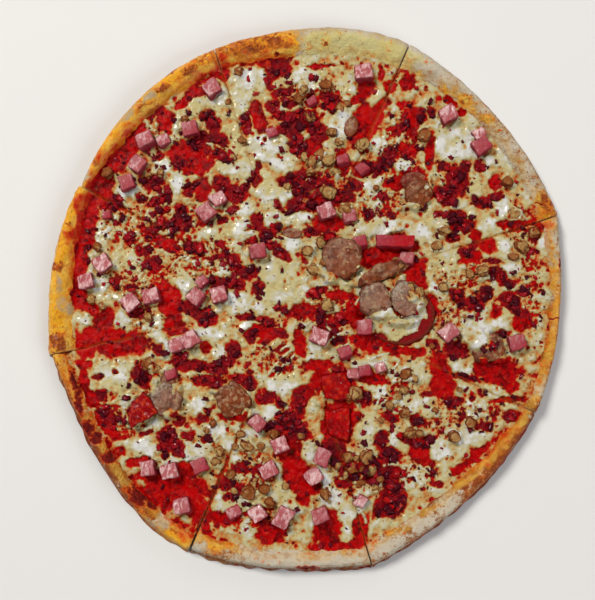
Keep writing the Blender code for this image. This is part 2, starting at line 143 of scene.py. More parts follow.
CRUST_BROWN = (
    (157, 66, 4, 3, 100), (121, 131, 5, 2, 135), (106, 133, 2.5, 2, 0), (14, 171, 1.6, 1.4, 0),
    (-14, 166, 5, 3.5, 20), (-21, 172, 4, 2.5, 0), (-36, 166, 5, 2, 0), (-88, 153, 3, 2, 40),
    (-76, 151, 5, 3, 20), (-95, 140, 5, 3, 30), (-101, 127, 7, 4.5, 20), (-108, 127, 3, 4, 0),
    (-122, 111, 2.5, 2, 0), (-138, 92, 4, 4, 60), (-155, 43, 3, 3.5, 0), (-156, 51, 3, 2, 30),
    (-165, 22, 4, 5, 70), (-163, -27, 5, 7, 80), (-152, -22, 3, 4, 0), (-154, -52, 3, 13, 10),
    (-146, -84, 6, 9, 30), (-133, -98, 7, 4.5, 10), (-126, -113, 8, 4, 140),
    (-111, -128, 11, 7, 135), (-103, -141, 5, 3, 140), (-87, -152, 4, 2, 140),
    (-61, -158, 5, 3, 150), (125, -104, 8, 5, 50), (137, -92, 4, 4, 0), (113, -119, 3, 4, 0),
    (148, -72, 3, 5, 60), (155, -32, 5, 7, 80), (160, -9, 4, 4, 0), (153, 17, 2.5, 2.5, 0),
    (82, -133, 4, 2, 10), (78, -141, 1.5, 2.5, 0), (150, -22, 4, 3, 30), (68, -152, 3, 2, 0),
    (142, -80, 4, 3, 60), (104, -123, 3, 2, 0), (128, -110, 4, 3, 40),
)
CRUST_CHAR = (
    (82, 139, 2.4, 1.6, -35), (-153, -56, 3.2, 10, 14), (-150, -70, 2.8, 8, 22),
    (-145, -84, 5, 4.6, 110), (-139, -91, 5, 4.6, 122), (-130.5, -103, 5, 5.5, 128),
    (-111, -129, 9, 6, 140), (-102, -135, 5, 3.4, 130), (1, -178, 8, 2.4, 0),
    (83, -156, 6, 1.8, 30), (165, -41, 1.8, 4, -5), (145, -88, 1.5, 4, -35),
    (132, -106, 1.6, 7, -45), (106, -138, 1.5, 6, -52), (-121, 129, 3, 1.2, 40),
    (-92, 151, 2, 1.2, 40), (165, -12, 6, 0.7, 8), (155, 65, 4, 0.6, 5), (168, 25, 0.8, 3, 0),
    (-20, 164, 2, 1.6, 0), (-132, 115, 1.6, 0.8, 20), (40, -179, 8, 1.2, 3),
)
CRUST_PALE = (
    (72, 160, 7, 6, -20), (84, 154, 7, 6, -30), (110, 142, 8, 5, -40), (-101, 135, 6, 4, 30),
    (-121, 120, 7, 4, 45), (-147, 82, 4, 6, 30), (-163, 10, 3, 7, 0), (-158, -3, 6, 7, 0),
    (-72, -164, 8, 3, 30), (-20, -172, 14, 4, -5), (20, -172, 12, 3, 3), (52, -163, 12, 4, 15),
    (75, -148, 12, 5, 25), (95, -135, 9, 5, 40), (158, -60, 3, 9, 75), (150, -75, 2, 3, 0),
    (156, 45, 4, 8, -10), (148, 70, 4, 5, 0), (158, 2, 4, 4, 0), (30, 168, 12, 6, 0),
    (140, -100, 3, 4, 30), (-92, -148, 8, 3, 150),
)
BLISTERS = (                    # on the crust: place, radius and height
    (-158, -4, 9, 1.6), (106, 133, 5, 0.8), (120, 121, 5, 0.7), (14, 171, 3.5, 0.8),
    (-133, -98, 7, 1.2), (-111, -128, 9, 1.3), (-147, -84, 7, 1.2), (-154, -50, 6, 1.0),
    (72, 160, 7, 1.0), (84, 154, 7, 0.9), (-93, 140, 7, 1.0), (-76, 152, 6, 0.8),
    (-127, 103, 9, 1.0), (162, 62, 6, 1.0), (-20, 167, 7, 1.0), (-45, 166, 8, 0.7),
    (83, -150, 7, 1.0), (135, -92, 6, 0.8), (125, -104, 6, 0.9), (155, 18, 6, 0.8),
    (-60, -158, 7, 0.9), (155, -32, 6, 0.9), (-101, 127, 6, 0.9), (-160, -26, 7, 0.8),
)

# ---------------------------------------------------------------------------------------------
# Where sauce, bacon and cheese lie: middle, half length, half width and turn in degrees
# ---------------------------------------------------------------------------------------------

SAUCE = (
    (-59, 159, 9, 3, 105), (-54, 150, 4, 4, 0), (-72, 139, 6, 3.5, 10), (-81, 134, 8, 3, 45),
    (-93, 121, 5, 7, 0), (-112, 115, 5, 3, 20), (-120, 99, 16, 6, 50), (-77, 100, 13, 7, 0),
    (-72, 91, 9, 6, 20), (-77, 86, 6, 3, 0), (-138, 79, 9, 7, 30), (-135, 69, 7, 8, 0),
    (-144, 60, 5, 10, 0), (-69, 75, 5, 7, 0), (-32, 124, 4, 11, 8), (5, 103, 6, 6, 0),
    (5, 133, 4, 3, 30), (10, 157, 10, 1.2, 0), (40, 142, 6, 9, 0), (33, 134, 6, 2.5, 40),
    (50, 153, 2.5, 5, 0), (56, 144, 4, 4, 0), (40, 120, 8, 13, -20), (51, 131, 6, 3.5, 20),
    (35, 108, 5, 7, 0), (60, 115, 6, 2, 10), (68, 146, 5, 5, 0), (65, 131, 4, 3, 0),
    (72, 124, 7, 6, 0), (97, 134, 5, 3, -30), (104, 126, 4, 3, 0), (72, 113, 3, 6, 0),
    (68, 101, 6, 4, -20), (83, 101, 3, 13, -5), (62, 79, 10, 4, 5), (73, 84, 8, 4, 0),
    (127, 79, 4, 5, 0), (133, 51, 6, 2.5, 0), (142, 50, 7, 2.5, 15), (152, 53, 6, 2, 20),
    (-145, 48, 4, 14, 4), (-150, 32, 4, 13, 5), (-151, 20, 4.5, 8, 0), (-152, 4, 5, 8, 20),
    (-143, -5, 6, 4, -50), (-128, -27, 21, 9, -8), (-147, -30, 6, 8, 0), (-135, -13, 7, 7, -30),
    (-148, -42, 5, 3, 0), (-148, -52, 2.6, 9, 5), (-143, -65, 3, 9, 25), (-137, -78, 3, 8, 28),
    (-130, -88, 6, 3, -40), (-121, -91, 4, 1.6, -10), (-92, 5, 8, 6, 0), (-90, -3, 9, 7, 0),
    (-88, -16, 7, 6, 0), (-67, -31, 4, 3, 0), (-72, 36, 4, 2, 0), (-103, 45, 9, 3, -32),
    (-91, 37, 9, 3, -18), (-28, -21, 9, 6, -10), (-3, -7, 9, 5, 10), (-4, -27, 4, 9, 10),
    (-18, -47, 6, 2, 20), (15, 52, 12, 5, 0), (45, 30, 20, 6, 8), (62, 37, 10, 8, 0),
    (70, 25, 11, 6, -20), (74, 14, 7, 8, 0), (65, -5, 7, 4, 0), (32, -8, 6, 10, 0),
    (24, 4, 9, 3, -5), (42, -27, 12, 6, 0), (60, -33, 10, 3, -5), (8, -43, 9, 4, 0),
    (84, -4, 3.4, 9, 0), (79.5, -17, 3.6, 6, -38), (69, -26, 7, 3.2, 18), (57, -29, 6, 2.4, -4),
    (12, -53, 8, 8, 0), (24, -56, 9, 12, 0), (23, -80, 12, 13, 0), (45, -52, 10, 4, -10),
    (74, -34, 6, 3, 0), (113, 44, 4, 4, 0), (121, 37, 6, 5, 0), (110, 29, 7, 4, 10),
    (144, -15, 6, 5, 0), (127, -7, 4, 5, 0), (130, -47, 13, 9, 0), (118, -45, 8, 5, 0),
    (137, -56, 6, 5, 0), (90, -46, 6, 10, 0), (92, -57, 8, 8, 0), (135, -66, 10, 2, 0),
    (-123, -100, 3, 3.5, 0), (-112, -108, 8, 3.5, 10), (-100, -118, 11, 6, -15),
    (-86, -127, 20, 11, 0), (-72, -139, 7, 13, 25), (-67, -152, 3, 7, 10), (-80, -113, 7, 5, 0),
    (-57, -145, 8, 5, -10), (-10, -97, 9, 13, 0), (-7, -115, 8, 14, 8), (-2, -131, 5, 7, 0),
    (14, -152, 9, 12, 5), (20, -164, 15, 2.6, 4), (36, -153, 5, 11, -10), (-23, -155, 9, 7, 0),
    (-33, -148, 6, 3, 10), (-49, -144, 6, 5, 0), (5, -124, 6, 5, 0), (76, -100, 7, 8, -20),
    (80, -107, 8, 2.5, 0), (113, -103, 3, 10, -50), (102, -112, 6, 2.5, 30), (0, -60, 6, 5, 0),
    (-50, -77, 9, 3, 0), (160, 57, 5, 3, 0), (38, 88, 8, 5, 0), (24, 92, 5, 8, 0),
)
BACON = (
    (-22, 157, 6, 9, 0), (-14, 155, 5, 5, 0), (-25, 145, 2.2, 5, 20), (-15, 139, 8, 2.6, 18),
    (-11, 133, 5, 3.5, 0), (-22, 130, 4, 5, 0), (-17, 124, 6, 3, -20), (-40, 120, 3.6, 7, 15),
    (-3, 122, 12, 6, 0), (-11, 113, 10, 4, -35), (-4, 102, 9, 6, -40), (9, 112, 5, 7, 0),
    (17, 135, 6, 6, 0), (15, 129, 6, 2.5, -10), (46, 88, 7, 4, 0), (55, 96, 6, 7, -20),
    (-8, 82, 11, 4.5, 18), (-2, 75, 9, 7, 0), (10, 76, 8, 7, 0), (-7, 64, 7, 5, 0),
    (6, 64, 7, 4, 0), (-18, 64, 2, 5.5, 35), (-34, 81, 4.5, 6, 0), (-32, 90, 2.5, 5, 0),
    (-41, 76, 4, 3, 30), (-47, 72, 7, 7, 0), (-56, 78, 6, 6, 0), (-28, 107, 1.7, 1.7, 0),
    (-47, 61, 4, 3, 0), (-33, 54, 6, 4, 0), (33, 77, 4, 4, 0), (52, 68, 3.5, 3.5, 0),
    (42, 57, 3, 4, 0), (57, 57, 3, 3, 0), (-66, 125, 5, 5, 0), (-62, 118, 6, 4, -40),
    (-70, 107, 7, 5, 0), (-59, 109, 7, 4, -20), (-55, 97, 8, 3.5, -20), (-85, 92, 6, 5, 0),
    (-104, 79, 8, 5.5, 0), (-98, 97, 3, 3, 0), (-128, 65, 6, 5, 0), (-110, 69, 4, 3, 0),
    (-101, 66, 5, 3, 0), (-93, 70, 4, 5, 0), (-97, 60, 6, 1.6, 10), (-78, 74, 4, 4, 0),
    (-83, 62, 4, 2.5, -20), (-78, 54, 3, 2, 0), (-85, 53, 5, 5, 0), (-101, 127, 7, 4, 20),
    (77, 126, 3, 5, 0), (84, 126, 2.5, 3.5, 0), (66, 117, 4, 3.5, 0), (100, 80, 10, 10, 0),
    (92, 89, 4, 3, 0), (106, 90, 4, 4, 0), (91, 72, 6, 5, 0), (96, 66, 5, 2.5, 0),
    (116, 91, 4, 4.5, 0), (127, 70, 4, 3, 20), (117, 66, 9, 3.5, -20), (100, 56, 7, 4.5, 0),
    (88, 58, 3, 2, 0), (105, 50, 8, 4.5, 0), (98, 42, 5, 3.5, 0), (112, 36, 2.5, 5, 0),
    (106, 33, 3, 3, 0), (125, 27, 5, 1.4, -5), (128, 18, 7, 4, -20), (134, 12, 5, 3, 0),
    (145, 6, 5, 2, -10), (101, 5, 5, 4.5, 0), (119, 5, 5, 5, 0), (110, -2, 8, 4, 0),
    (136, 1, 6, 5, 0), (138, -4, 10, 3, -35), (144, -8, 7, 2.5, -10), (132, -22, 4, 2, -10),
    (122, -31, 6, 4, 0), (85, -29, 5, 3, -35), (100, -33, 8, 6, 0), (108, -51, 10, 2, -8),
    (152, 43, 3.5, 6, 20), (154, 34, 4, 2, 0), (-118, 42, 4, 4, 0), (-111, 34, 3, 4, 0),
    (-106, 33, 2.5, 3.5, 0), (-102, 25, 5, 5, 0), (-127, 12, 4, 3, 0), (-117, 8.5, 4, 2, 0),
    (-84, 51, 6, 5, 0), (-97, 50, 6, 3, 20), (-75, 36, 6.5, 4, 0), (-58, 38, 6, 1.8, -35),
    (-55, 54, 4, 2.5, 0), (-62, 29, 6, 1.6, 0), (-50, 29, 4, 3, 0), (-57, 12, 8, 5, 0),
    (-80, -4, 8, 5, 0), (-68, -10, 8, 5, -10), (-66, -15, 4, 3, 0), (-98, -32, 5, 4, -30),
    (-114, -8, 6, 3, 0), (-139, -51, 5, 2.5, 15), (-128, -47, 2, 3, 15), (-110, -50, 6, 9, 15),
    (-85, -40, 5, 5, 0), (-75, -43, 10, 4, 0), (-60, -45, 8, 4, 0), (-65, -53, 12, 4, 0),
    (-137, -63, 5, 4, 0), (-134, -73, 3, 4, 0), (-130, -79, 6, 2.5, 0), (-118, -65, 2.5, 2, 0),
    (-70, -78, 4, 4, 0), (-66, -73, 3, 2.5, 0), (-86, -79, 5, 4.5, 0), (-92, -82, 4, 3.5, 0),
    (-107, -88, 5, 1.3, 18), (-92, -93, 7, 8, 0), (-85, -99, 4, 6, 0), (-79, -90, 4, 3, 0),
    (-93, -104, 3, 2, 0), (-67, -92, 4, 2.6, 0), (-53, -122, 5, 4, 0), (-51, -131, 5, 3, 0),
    (-43, -112, 8, 4, 0), (-45, -125, 5, 4, 0), (-26, -65, 7, 4, 10), (-17, -70, 2, 4, 10),
    (-4, -66, 5, 9, 0), (-11, -77, 7, 5, 0), (-20, -84, 10, 4, 0), (-5, -88, 8, 7, 0),
    (-33, -113, 4, 3, 0), (-33, 49, 8, 2.5, 0), (-20, 49, 4, 3, 0), (-26, 45, 5, 4.5, 0),
    (-37, 40, 4, 2, 0), (-18, 33, 10, 3.2, -38), (-48, 28, 4, 3, 0), (-44, 20, 9, 4.2, -32),
    (-35, 20, 4, 4, 0), (-47, 11, 6, 5, 0), (-32, 8, 3.5, 7, 0), (-42, -10, 5, 2, -8),
    (-29, -12, 8, 1.8, -8), (-24, -15, 5, 3, 0), (-18, -22, 5, 4, 0), (-37, -23, 4, 5, 0),
    (-17, -4, 3.6, 2.4, 0), (-13, -6, 1.8, 5, 0), (-16, -32, 5, 2, 15), (-38, -42, 2.2, 2.2, 0),
    (-37, -47, 3, 2, 0), (-38, -55, 5, 5, 0), (-45, -52, 5, 3.5, 0), (-48, -33, 5, 6, 0),
    (-53, -40, 6, 5, 0), (3, 46, 7, 2.6, 10), (8, 6, 7, 3, 20), (22, -12, 4, 5, 0),
    (14, -17, 6, 4, 0), (10, -10, 4, 4, 0), (22, -24, 6, 5, 0), (22, -46, 4, 2.5, 20),
    (38, -64, 6, 6, 0), (55, -77, 4, 3.5, 0), (50, -93, 6, 6, -30), (56, -104, 7, 7, 0),
    (57, -116, 7, 8, 0), (58, -133, 9, 11, 0), (50, -139, 6, 5, 0), (15, -96, 5, 5, 0),
    (22, -101, 5, 8, 0), (25, -122, 5, 3, 0), (30, -113, 7, 6, 0), (44, -112, 8, 8, 0),
    (81, -62, 4, 2.6, 0), (100, -68, 6, 4, 0), (104, -74, 3, 5, 0), (118, -60, 4, 2.6, 0),
    (111, -66, 2.6, 2, 0), (135, -76, 5, 4, 0), (74, -80, 4, 4, 0), (58, -78, 4, 3, 0),
    (118, -84, 5, 3.6, 0), (68, -93, 9, 2.6, -28), (84, -93, 6, 2.2, 40), (65, -113, 2.4, 2, 0),
    (70, -119, 2, 1.6, 0), (65, -122, 1.8, 1.6, 0), (77, -125, 2, 1.6, 0), (73, -112, 2.2, 1.6, 20),
    (84, -116, 3, 3, 45), (88, -122, 4, 2, 0), (25, 70, 8, 4, 0), (15, 68, 6, 6, 0),
    (15, 43, 5, 4, 0),
)
MOTTLED = (
    (-120, 52, 22, 10, 10), (-95, 42, 26, 14, 0), (-110, 15, 22, 14, 0), (-75, 55, 18, 10, 0),
    (-80, 25, 16, 12, 0), (-125, -78, 14, 14, 0), (-110, -12, 14, 8, 0), (-60, 30, 10, 14, 0),
    (15, -8, 18, 16, 0), (-20, -40, 16, 10, 0), (60, -60, 16, 14, 0), (92, -78, 14, 10, 0),
    (62, 100, 14, 26, 0), (50, 65, 16, 12, 0), (105, 20, 18, 14, 0), (100, -8, 16, 10, 0),
    (150, 20, 8, 14, 0), (145, 45, 10, 12, 0), (35, -118, 16, 14, 0), (-40, -115, 18, 12, 0),
    (72, -116, 14, 9, 0), (8, 140, 18, 10, 0), (20, 75, 14, 14, 0), (-70, 105, 16, 10, 0),
    (-100, 112, 10, 8, 0), (150, -5, 8, 10, 0), (120, -75, 12, 10, 0), (-30, -148, 20, 8, 0),
)
CHEESE = (
    (-27, 101, 13, 8, -15), (-43, 132, 5, 9, 0), (-46, 149, 6, 7, 0), (-34, 149, 6, 8, 0),
    (-1, 149, 10, 6, 0), (6, 144, 10, 4, 0), (28, 144, 8, 7, 0), (45, 135, 5, 6, 0),
    (24, 118, 7, 9, 0), (49, 103, 6, 6, 0), (-45, 88, 12, 4.5, 0), (-17, 92, 8, 5, 0),
    (-25, 72, 7, 8, 0), (-14, 69, 5, 6, 0), (-1, 56, 6, 4, 0), (48, 77, 8, 4, 0), (45, 66, 5, 7, 0),
    (-22, 56, 6, 3.5, 0), (-70, 131, 13, 5, 0), (-88, 118, 5, 6, 0), (-58, 136, 6, 6, 0),
    (-87, 81, 4.5, 9, 20), (-95, 90, 6, 5, 0), (-118, 73, 11, 3.5, 0), (99, 107, 16, 8, 5),
    (104, 98, 13, 5, 0), (130, 62, 5, 8, 0), (102, 64, 5, 3, 0), (92, 81, 4, 4, 0),
    (64, 90, 7, 4, 0), (112, 76, 5, 7, 0), (122, 93, 5, 4, 0), (-118, 25, 9, 7, 0),
    (-138, 12, 7, 5, -20), (-121, -13, 8, 4, -15), (-100, -17, 8, 7, -30), (-82, 12, 7, 8, 0),
    (-135, 45, 5, 7, 0), (-64, 45, 8, 5, 0), (-70, 25, 5, 2.6, -15), (-55, 20, 3.5, 6, 0),
    (-65, -22, 9, 4, 0), (-55, -35, 4, 7, 0), (-126, -50, 12, 9, 0), (-95, -30, 3.5, 8, 20),
    (-145, -13, 4, 4, 0), (-42, 51, 7, 10, 0), (-8, 38, 6, 5, 0), (-22, 16, 9, 10, 0),
    (-20, 4, 12, 6, 0), (-28, -4, 8, 4, 0), (-46, 0, 9, 8, 0), (-10, 13, 3, 8, 0), (-3, 6, 4, 4, 0),
    (-40, -17, 5, 3.5, 0), (5, -35, 6, 5, 0), (0, -18, 5, 4, 0), (-15, -56, 13, 6, 0),
    (11, 12, 7, 1.8, 5), (25, 11, 7, 2.6, -10), (52, 49, 12, 6, 0), (52, -10, 9, 3.5, 10),
    (62, -17, 12, 7, 0), (70, -8, 8, 8, 0), (50, -42, 7, 3, -10), (75, 46, 9, 5, 0),
    (95, 27, 9, 11, 0), (86, 6, 4, 8, 10), (113, -16, 12, 8, -30), (130, -15, 8, 4, 0),
    (105, -46, 6, 3.4, 0), (125, 50, 9, 5, 0), (133, 38, 6, 4, 0), (138, 22, 6, 4, 0),
    (158, 3, 4, 3, 0), (116, -28, 5, 6, 30), (-119, -68, 4, 7, 0), (-108, -98, 9, 5.5, 0),
    (-97, -82, 13, 3.5, 22), (-73, -70, 7, 5, 0), (-60, -85, 7, 7, 0), (-75, -102, 9, 5, 10),
    (-58, -133, 3, 6, 15), (-25, -75, 11, 4, 0), (0, -102, 6, 9, -20), (10, -121, 5, 9, 0),
    (17, -131, 8, 7, 0), (28, -148, 6, 12, 0), (8, -140, 5, 3, -15), (5, -152, 3, 5, 15),
    (36, -132, 5, 7, 0), (-49, -101, 4, 8, 10), (-40, -88, 8, 3.5, 0), (-15, -128, 8, 3.6, 0),
    (-42, -136, 9, 4, 0), (40, -88, 9, 8, -20), (50, -62, 6, 8, 0), (-8, -139, 8, 4, 0),
    (-39, -150, 5, 6, 0), (70, -68, 11, 7, 0), (85, -75, 8, 3.6, 0), (110, -72, 11, 6, 0),
    (106, -90, 13, 7, 0), (89, -100, 7, 6, 0), (92, -110, 2.4, 5, 0), (72, -118, 10, 7, 0),
    (124, -60, 6, 5, 0), (70, -50, 10, 5, 0), (88, 52, 7, 5, 0), (-42, 148, 8, 6, 0),
    (60, -92, 4, 5, 40), (-88, -106, 6, 3, 0), (158, 40, 3, 6, 0),
)
YELLOW = (                      # where the cheese is thin, oily and yellow
    (95, 27, 10, 10, 0), (87, 55, 8, 6, 0), (78, 58, 6, 5, 0), (-58, 48, 8, 10, 0),
    (-48, 128, 4, 10, 10), (-50, 110, 5, 14, 20), (-20, 78, 8, 8, 0), (-25, -35, 12, 12, 0),
    (-10, -50, 10, 5, 0), (-110, -32, 12, 5, 15), (-105, -8, 8, 6, 0), (-88, 20, 8, 8, 0),
    (-118, 25, 8, 8, 0), (-125, -58, 14, 6, 0), (112, 76, 5, 7, 0), (-70, 128, 12, 8, 0),
    (150, 25, 8, 14, 0), (86, -75, 12, 6, 0), (72, -60, 12, 6, 0), (-62, -117, 6, 5, 0),
    (-14, -126, 10, 5, 0), (-42, -137, 12, 5, 0), (66, -100, 6, 8, 0), (60, -18, 12, 9, 0),
    (-55, -112, 10, 6, 0), (20, 148, 10, 8, 0), (104, -110, 10, 6, 0), (40, -88, 9, 8, 0),
    (145, 42, 8, 8, 0), (25, 11, 8, 4, 0), (-45, 92, 12, 4, 0), (52, 22, 9, 5, 25),
    (-22, 12, 16, 14, 0), (-60, 93, 5, 5, 0), (48, 137, 6, 8, 0), (45, 55, 6, 5, 0),
    (-65, -8, 5, 4, 0),
)
STREAKS = (                     # pale, stretched threads of cheese: both ends and how far they bow
    (-25, -49, -10, -33, 1), (-22, -47, -8, -36, -1), (-20, -50, -13, -41, 1),
    (-17, -33, -10, -30, 1), (12, -31, 28, -20, 2), (13, -15, 27, -22, -3), (33, -2, 40, 3, 1),
    (5, 20, 9, 24, 1), (52, -110, 66, -112, 2), (58, -104, 68, -110, -2), (4, -108, 15, -113, 1),
    (62, -40, 55, -47, 1), (-66, 105, -62, 102, 1), (-90, 22, -80, 30, 2), (80, -112, 87, -118, 2),
    (-128, 47, -118, 43, 2), (42, -40, 55, -35, 1), (100, -20, 106, -26, 1),
    (36, -140, 40, -148, 1), (-103, -20, -100, -27, 1),
)

# ---------------------------------------------------------------------------------------------
# The pieces on the cheese
# ---------------------------------------------------------------------------------------------

VOXEL = 0.62                    # mesh size of the pieces that are remeshed
HAM_SUNK = 3.0                  # how far the ham and the flat pieces reach into the cheese
FLAT_SUNK = 1.6
HAM_ROUNDS = 14                 # rounds of smoothing that take the edges off
SLICE_ROUNDS = 3
PEPPER_ROUNDS = 4
HAM_FACES = ((6, 0.8), (2.8, 0.3), (1.2, 0.08))     # size and depth of the bumps on the ham
DIE_SHAPE = (1.0, 0.86, 0.74)   # a die's sides as shares of its size
HAM_LEVEL = 8.4                 # the smaller dice rest no higher than this
HAM_RISE = 1.8                  # their middles lie this far above it, less 0.15 of their size

# How red the reddest ham dice are, by the number of the die.
RED_HAM = {2: 0.7, 3: 0.5, 5: 0.7, 9: 0.7, 12: 0.8, 14: 0.5, 18: 0.6, 26: 0.6, 28: 0.6, 30: 0.7,
           32: 0.8, 33: 1.25}
# More ham dice: place, turn, size and how red they are.
MORE_HAM = (
    (-94.7, 106.7, 25, 8.5, 0.4), (-22.5, 112, 20, 7.5, 0.8), (115, 111, 30, 8, 0.2),
    (29, 56, 15, 9, 0.6), (4, 133, 30, 7, 0.9), (25, 94, 10, 8, 0.9), (38, 88, 35, 8, 0.9),
    (67.5, 28.5, -10, 9.5, 0.5), (-86, -29.5, 20, 10, 0.35), (-69, 12.5, 40, 8, 0.8),
    (-103, 3, 15, 11, 0.3), (-70.5, -110, 25, 10.5, 0.85), (-48, -141, 30, 9.5, 0.6),
    (26, -34.5, 20, 9, 0.8), (39.5, -46.5, 10, 8.5, 0.95), (31.5, -48.5, 5, 8, 0.3),
    (49.5, -44.5, 20, 7.5, 0.1), (-89.5, -49.5, 20, 7.5, 0.95), (36.5, -133, 60, 8, 0.1),
    (-58.5, 67.5, 30, 10, 0.3), (-132.5, 57, 12, 6, 0.9), (36, 39, 12, 9, 0.95),
)
# Crumbles of sausage meat: place and size.
CRUMBLES = (
    (-4.7, 135.4, 9), (-2, 140, 8), (13.3, 143, 9), (23.3, 128.7, 8), (2.7, 122.7, 9),
    (14.7, 93.4, 10), (4, 92, 9), (37.3, 104, 10), (14.5, 73, 11), (26, 61.4, 9), (46.7, 75.4, 4.5),
    (79, 110, 10.5), (5.3, 20.7, 10), (14, -2.7, 9), (60, 24, 10), (-105, -42, 10),
    (-39.5, -97, 10), (-57, -100, 8), (-21.3, -88.7, 8), (-43.4, -88.7, 7), (-39, -128.5, 10.5),
    (-24, -134, 8), (-28, -124.7, 8.5), (13, -128.5, 9), (33.4, -62, 11), (66.7, -48.7, 10),
    (65.4, -59.4, 7), (56, -68.7, 7), (65.4, -74, 8), (69.4, -88, 9), (40, -104, 10),
    (28, -104, 8.5), (30.7, -111.4, 9), (43.4, -112.7, 9), (139.4, 57, 12), (134, 79, 8),
    (92, 46.7, 9), (87, 36, 8), (91.4, 9.3, 7), (144, 36, 8.5), (138, 29.5, 7.5), (117, 20, 9.5),
    (110, -80.7, 8.5), (98.7, -90, 8.5), (-132, 85, 8), (-81, 121, 5), (9, 97, 8), (-1, 96, 7),
    (20, 86, 7), (75, 5, 8), (69, 9, 7), (71, 2, 8), (-105, -11, 7), (-99, -46, 6), (-60, -107, 7),
    (-50, -116, 7), (10, 39, 8), (46, -124, 8), (36, -121, 7), (152, 46, 8), (141, 37, 6),
    (109, 18, 7), (102, -59, 4.5), (86, -73, 5), (-14, -124, 6), (3, 86, 7), (-45, 153, 7),
    (-43, 107, 6), (-49, 96, 6), (-52, 133, 5), (27, 131, 6), (17, 112, 7), (22, 106, 6),
    (-13, 76, 7), (12, 26, 7), (1, 33, 8), (29, -64, 7), (-3, -90, 5.5), (-48, -126, 6),
    (-35, -120, 7), (-30, -97, 6), (-47, -97, 6), (50, -79, 6), (75, -88, 6), (61, -64, 6),
    (72, -52, 6), (84, -30, 4), (106, -10, 4.5), (147, 44, 5), (-143, 1, 7), (-136, -3, 6),
    (-139, 36, 6), (-97, 85, 6), (-105, 84, 5), (33, -104, 6), (38, -112, 6), (26, -116, 6),
    (49, -118, 6), (21, -110, 6), (-62, -82, 6), (-66, -86, 5), (5, 72, 6),
)
# Cheese drawn up over the edges of pieces: middle, half length, half width, turn and rise.
SMEARS = (
    (53, -8.5, 11, 4.5, 5, 6.0), (38, -6, 6, 5, 30, 5.0), (59, 9, 7, 4, -35, 5.4),
    (57, 2, 2.4, 6, 12, 6.4), (62, -12, 12, 5, 0, 4.6), (70, 4, 4.5, 6, 20, 6.6),
    (72, 0, 8, 9, 0, 5.6), (36, 24, 5, 2.5, 60, 4.6), (15, 17, 7, 4, -35, 4.8),
    (36, 13, 7, 2.5, 15, 4.0),
    (-58, -56, 6, 4, 30, 5.0), (-40, -76, 6, 4, 30, 5.0), (-101, -59, 4, 6, 40, 5.4),
    (-89, -75, 7, 3.5, 0, 5.0), (-86, -58, 3, 5, -20, 4.8), (116, -27, 10, 7.5, -20, 7.0),
    (129, -39, 5, 3.5, 0, 4.6), (118, -40, 3, 3, 0, 4.6), (-51, -57, 3, 3, 0, 4.6),
    (70, 63, 8, 3, 0, 4.2), (81, 78, 3, 5, 0, 3.6), (10, -66, 2.5, 6, 0, 3.0),
    (33, -76, 3, 6, 0, 2.6), (-119, -80, 3, 4, 0, 2.8), (74, -4, 3, 5, 20, 3.8),
)
# How grey (0 brown, 1 grey) and how red the eight slices of sausage on the cheese are.
SLICE_LOOKS = (
    (0.5, 0.0), (0.4, 0.0), (0.85, 0.0), (0.95, 0.0), (0.15, 0.1), (0.95, 0.0), (0.5, 0.25),
    (0.1, 0.3),
)
TORN_LESS = 2                   # the first two slices are torn less than the others
WIDENED = (1, (24.3, 28.7), (1.08, 1.1))    # number of the widened slice, its middle and how much
# Slices of sausage, under and between the others: place, half length, half width, turn, redness.
DEEP_SLICES = (
    (62, -8.5, 24, 20.5, -8, 1.0), (-9, 45, 6.5, 3.5, -5, 0.1), (30, 116, 7, 4.5, 70, 0.1),
    (-91, -53, 6, 5, 0, 0.4), (62, 24, 8, 5, 30, 0.15), (72, 80, 9, 6, 0, 0.6),
)
# Outlines of the flat red pieces, and how much pepperoni is in their finish.
RED_PIECES = {
    "pepper_piece_1": (((8.5, -49), (24.5, -47.5), (31, -56), (28.5, -66), (12, -65.5)), 0.0),
    "pepper_piece_2": (((13, -72.5), (29, -70.5), (30, -81.5), (27.5, -94), (15, -89), (12, -80)),
                       0.0),
    "pepperoni_wedge": (((-116, -84.5), (-118.5, -76), (-115.5, -67), (-108, -60),
                         (-102.5, -65.5), (-97, -74), (-105, -79)), 0.9),
}

# ---------------------------------------------------------------------------------------------
# The studio, in metres and watts
# ---------------------------------------------------------------------------------------------

FLOOR_SIZE = 4
FLOOR_MOTTLE = (0.70, 0.68, 0.65)
# One row a light: name, place, size, power and colour.
LIGHTS = (
    ("key", (-1.45, 1.4, 2.4), 1.0, 108, (1.0, 0.97, 0.92)),
    ("fill", (1.9, -1.5, 1.7), 1.8, 44, (0.97, 0.98, 1.0)),
    ("back", (0.9, 2.3, 1.5), 1.4, 15, (1.0, 1.0, 1.0)),
)
STUDIO_COLOUR = (0.92, 0.95, 1.0)
STUDIO_STRENGTH = 0.19

VIEW = 0.4002                   # what the picture's long side takes in at the cheese
VIEW_MIDDLE_Y = 0.00067
CHEESE_LEVEL = 0.008
CAMERA_PLACE = (-0.00567, -0.040)
CAMERA_AWAY = 0.60              # from the cheese
SENSOR = 36                     # millimetres

# ---------------------------------------------------------------------------------------------
# Fields over the pizza. Every place is a pair of arrays in millimetres.
# ---------------------------------------------------------------------------------------------

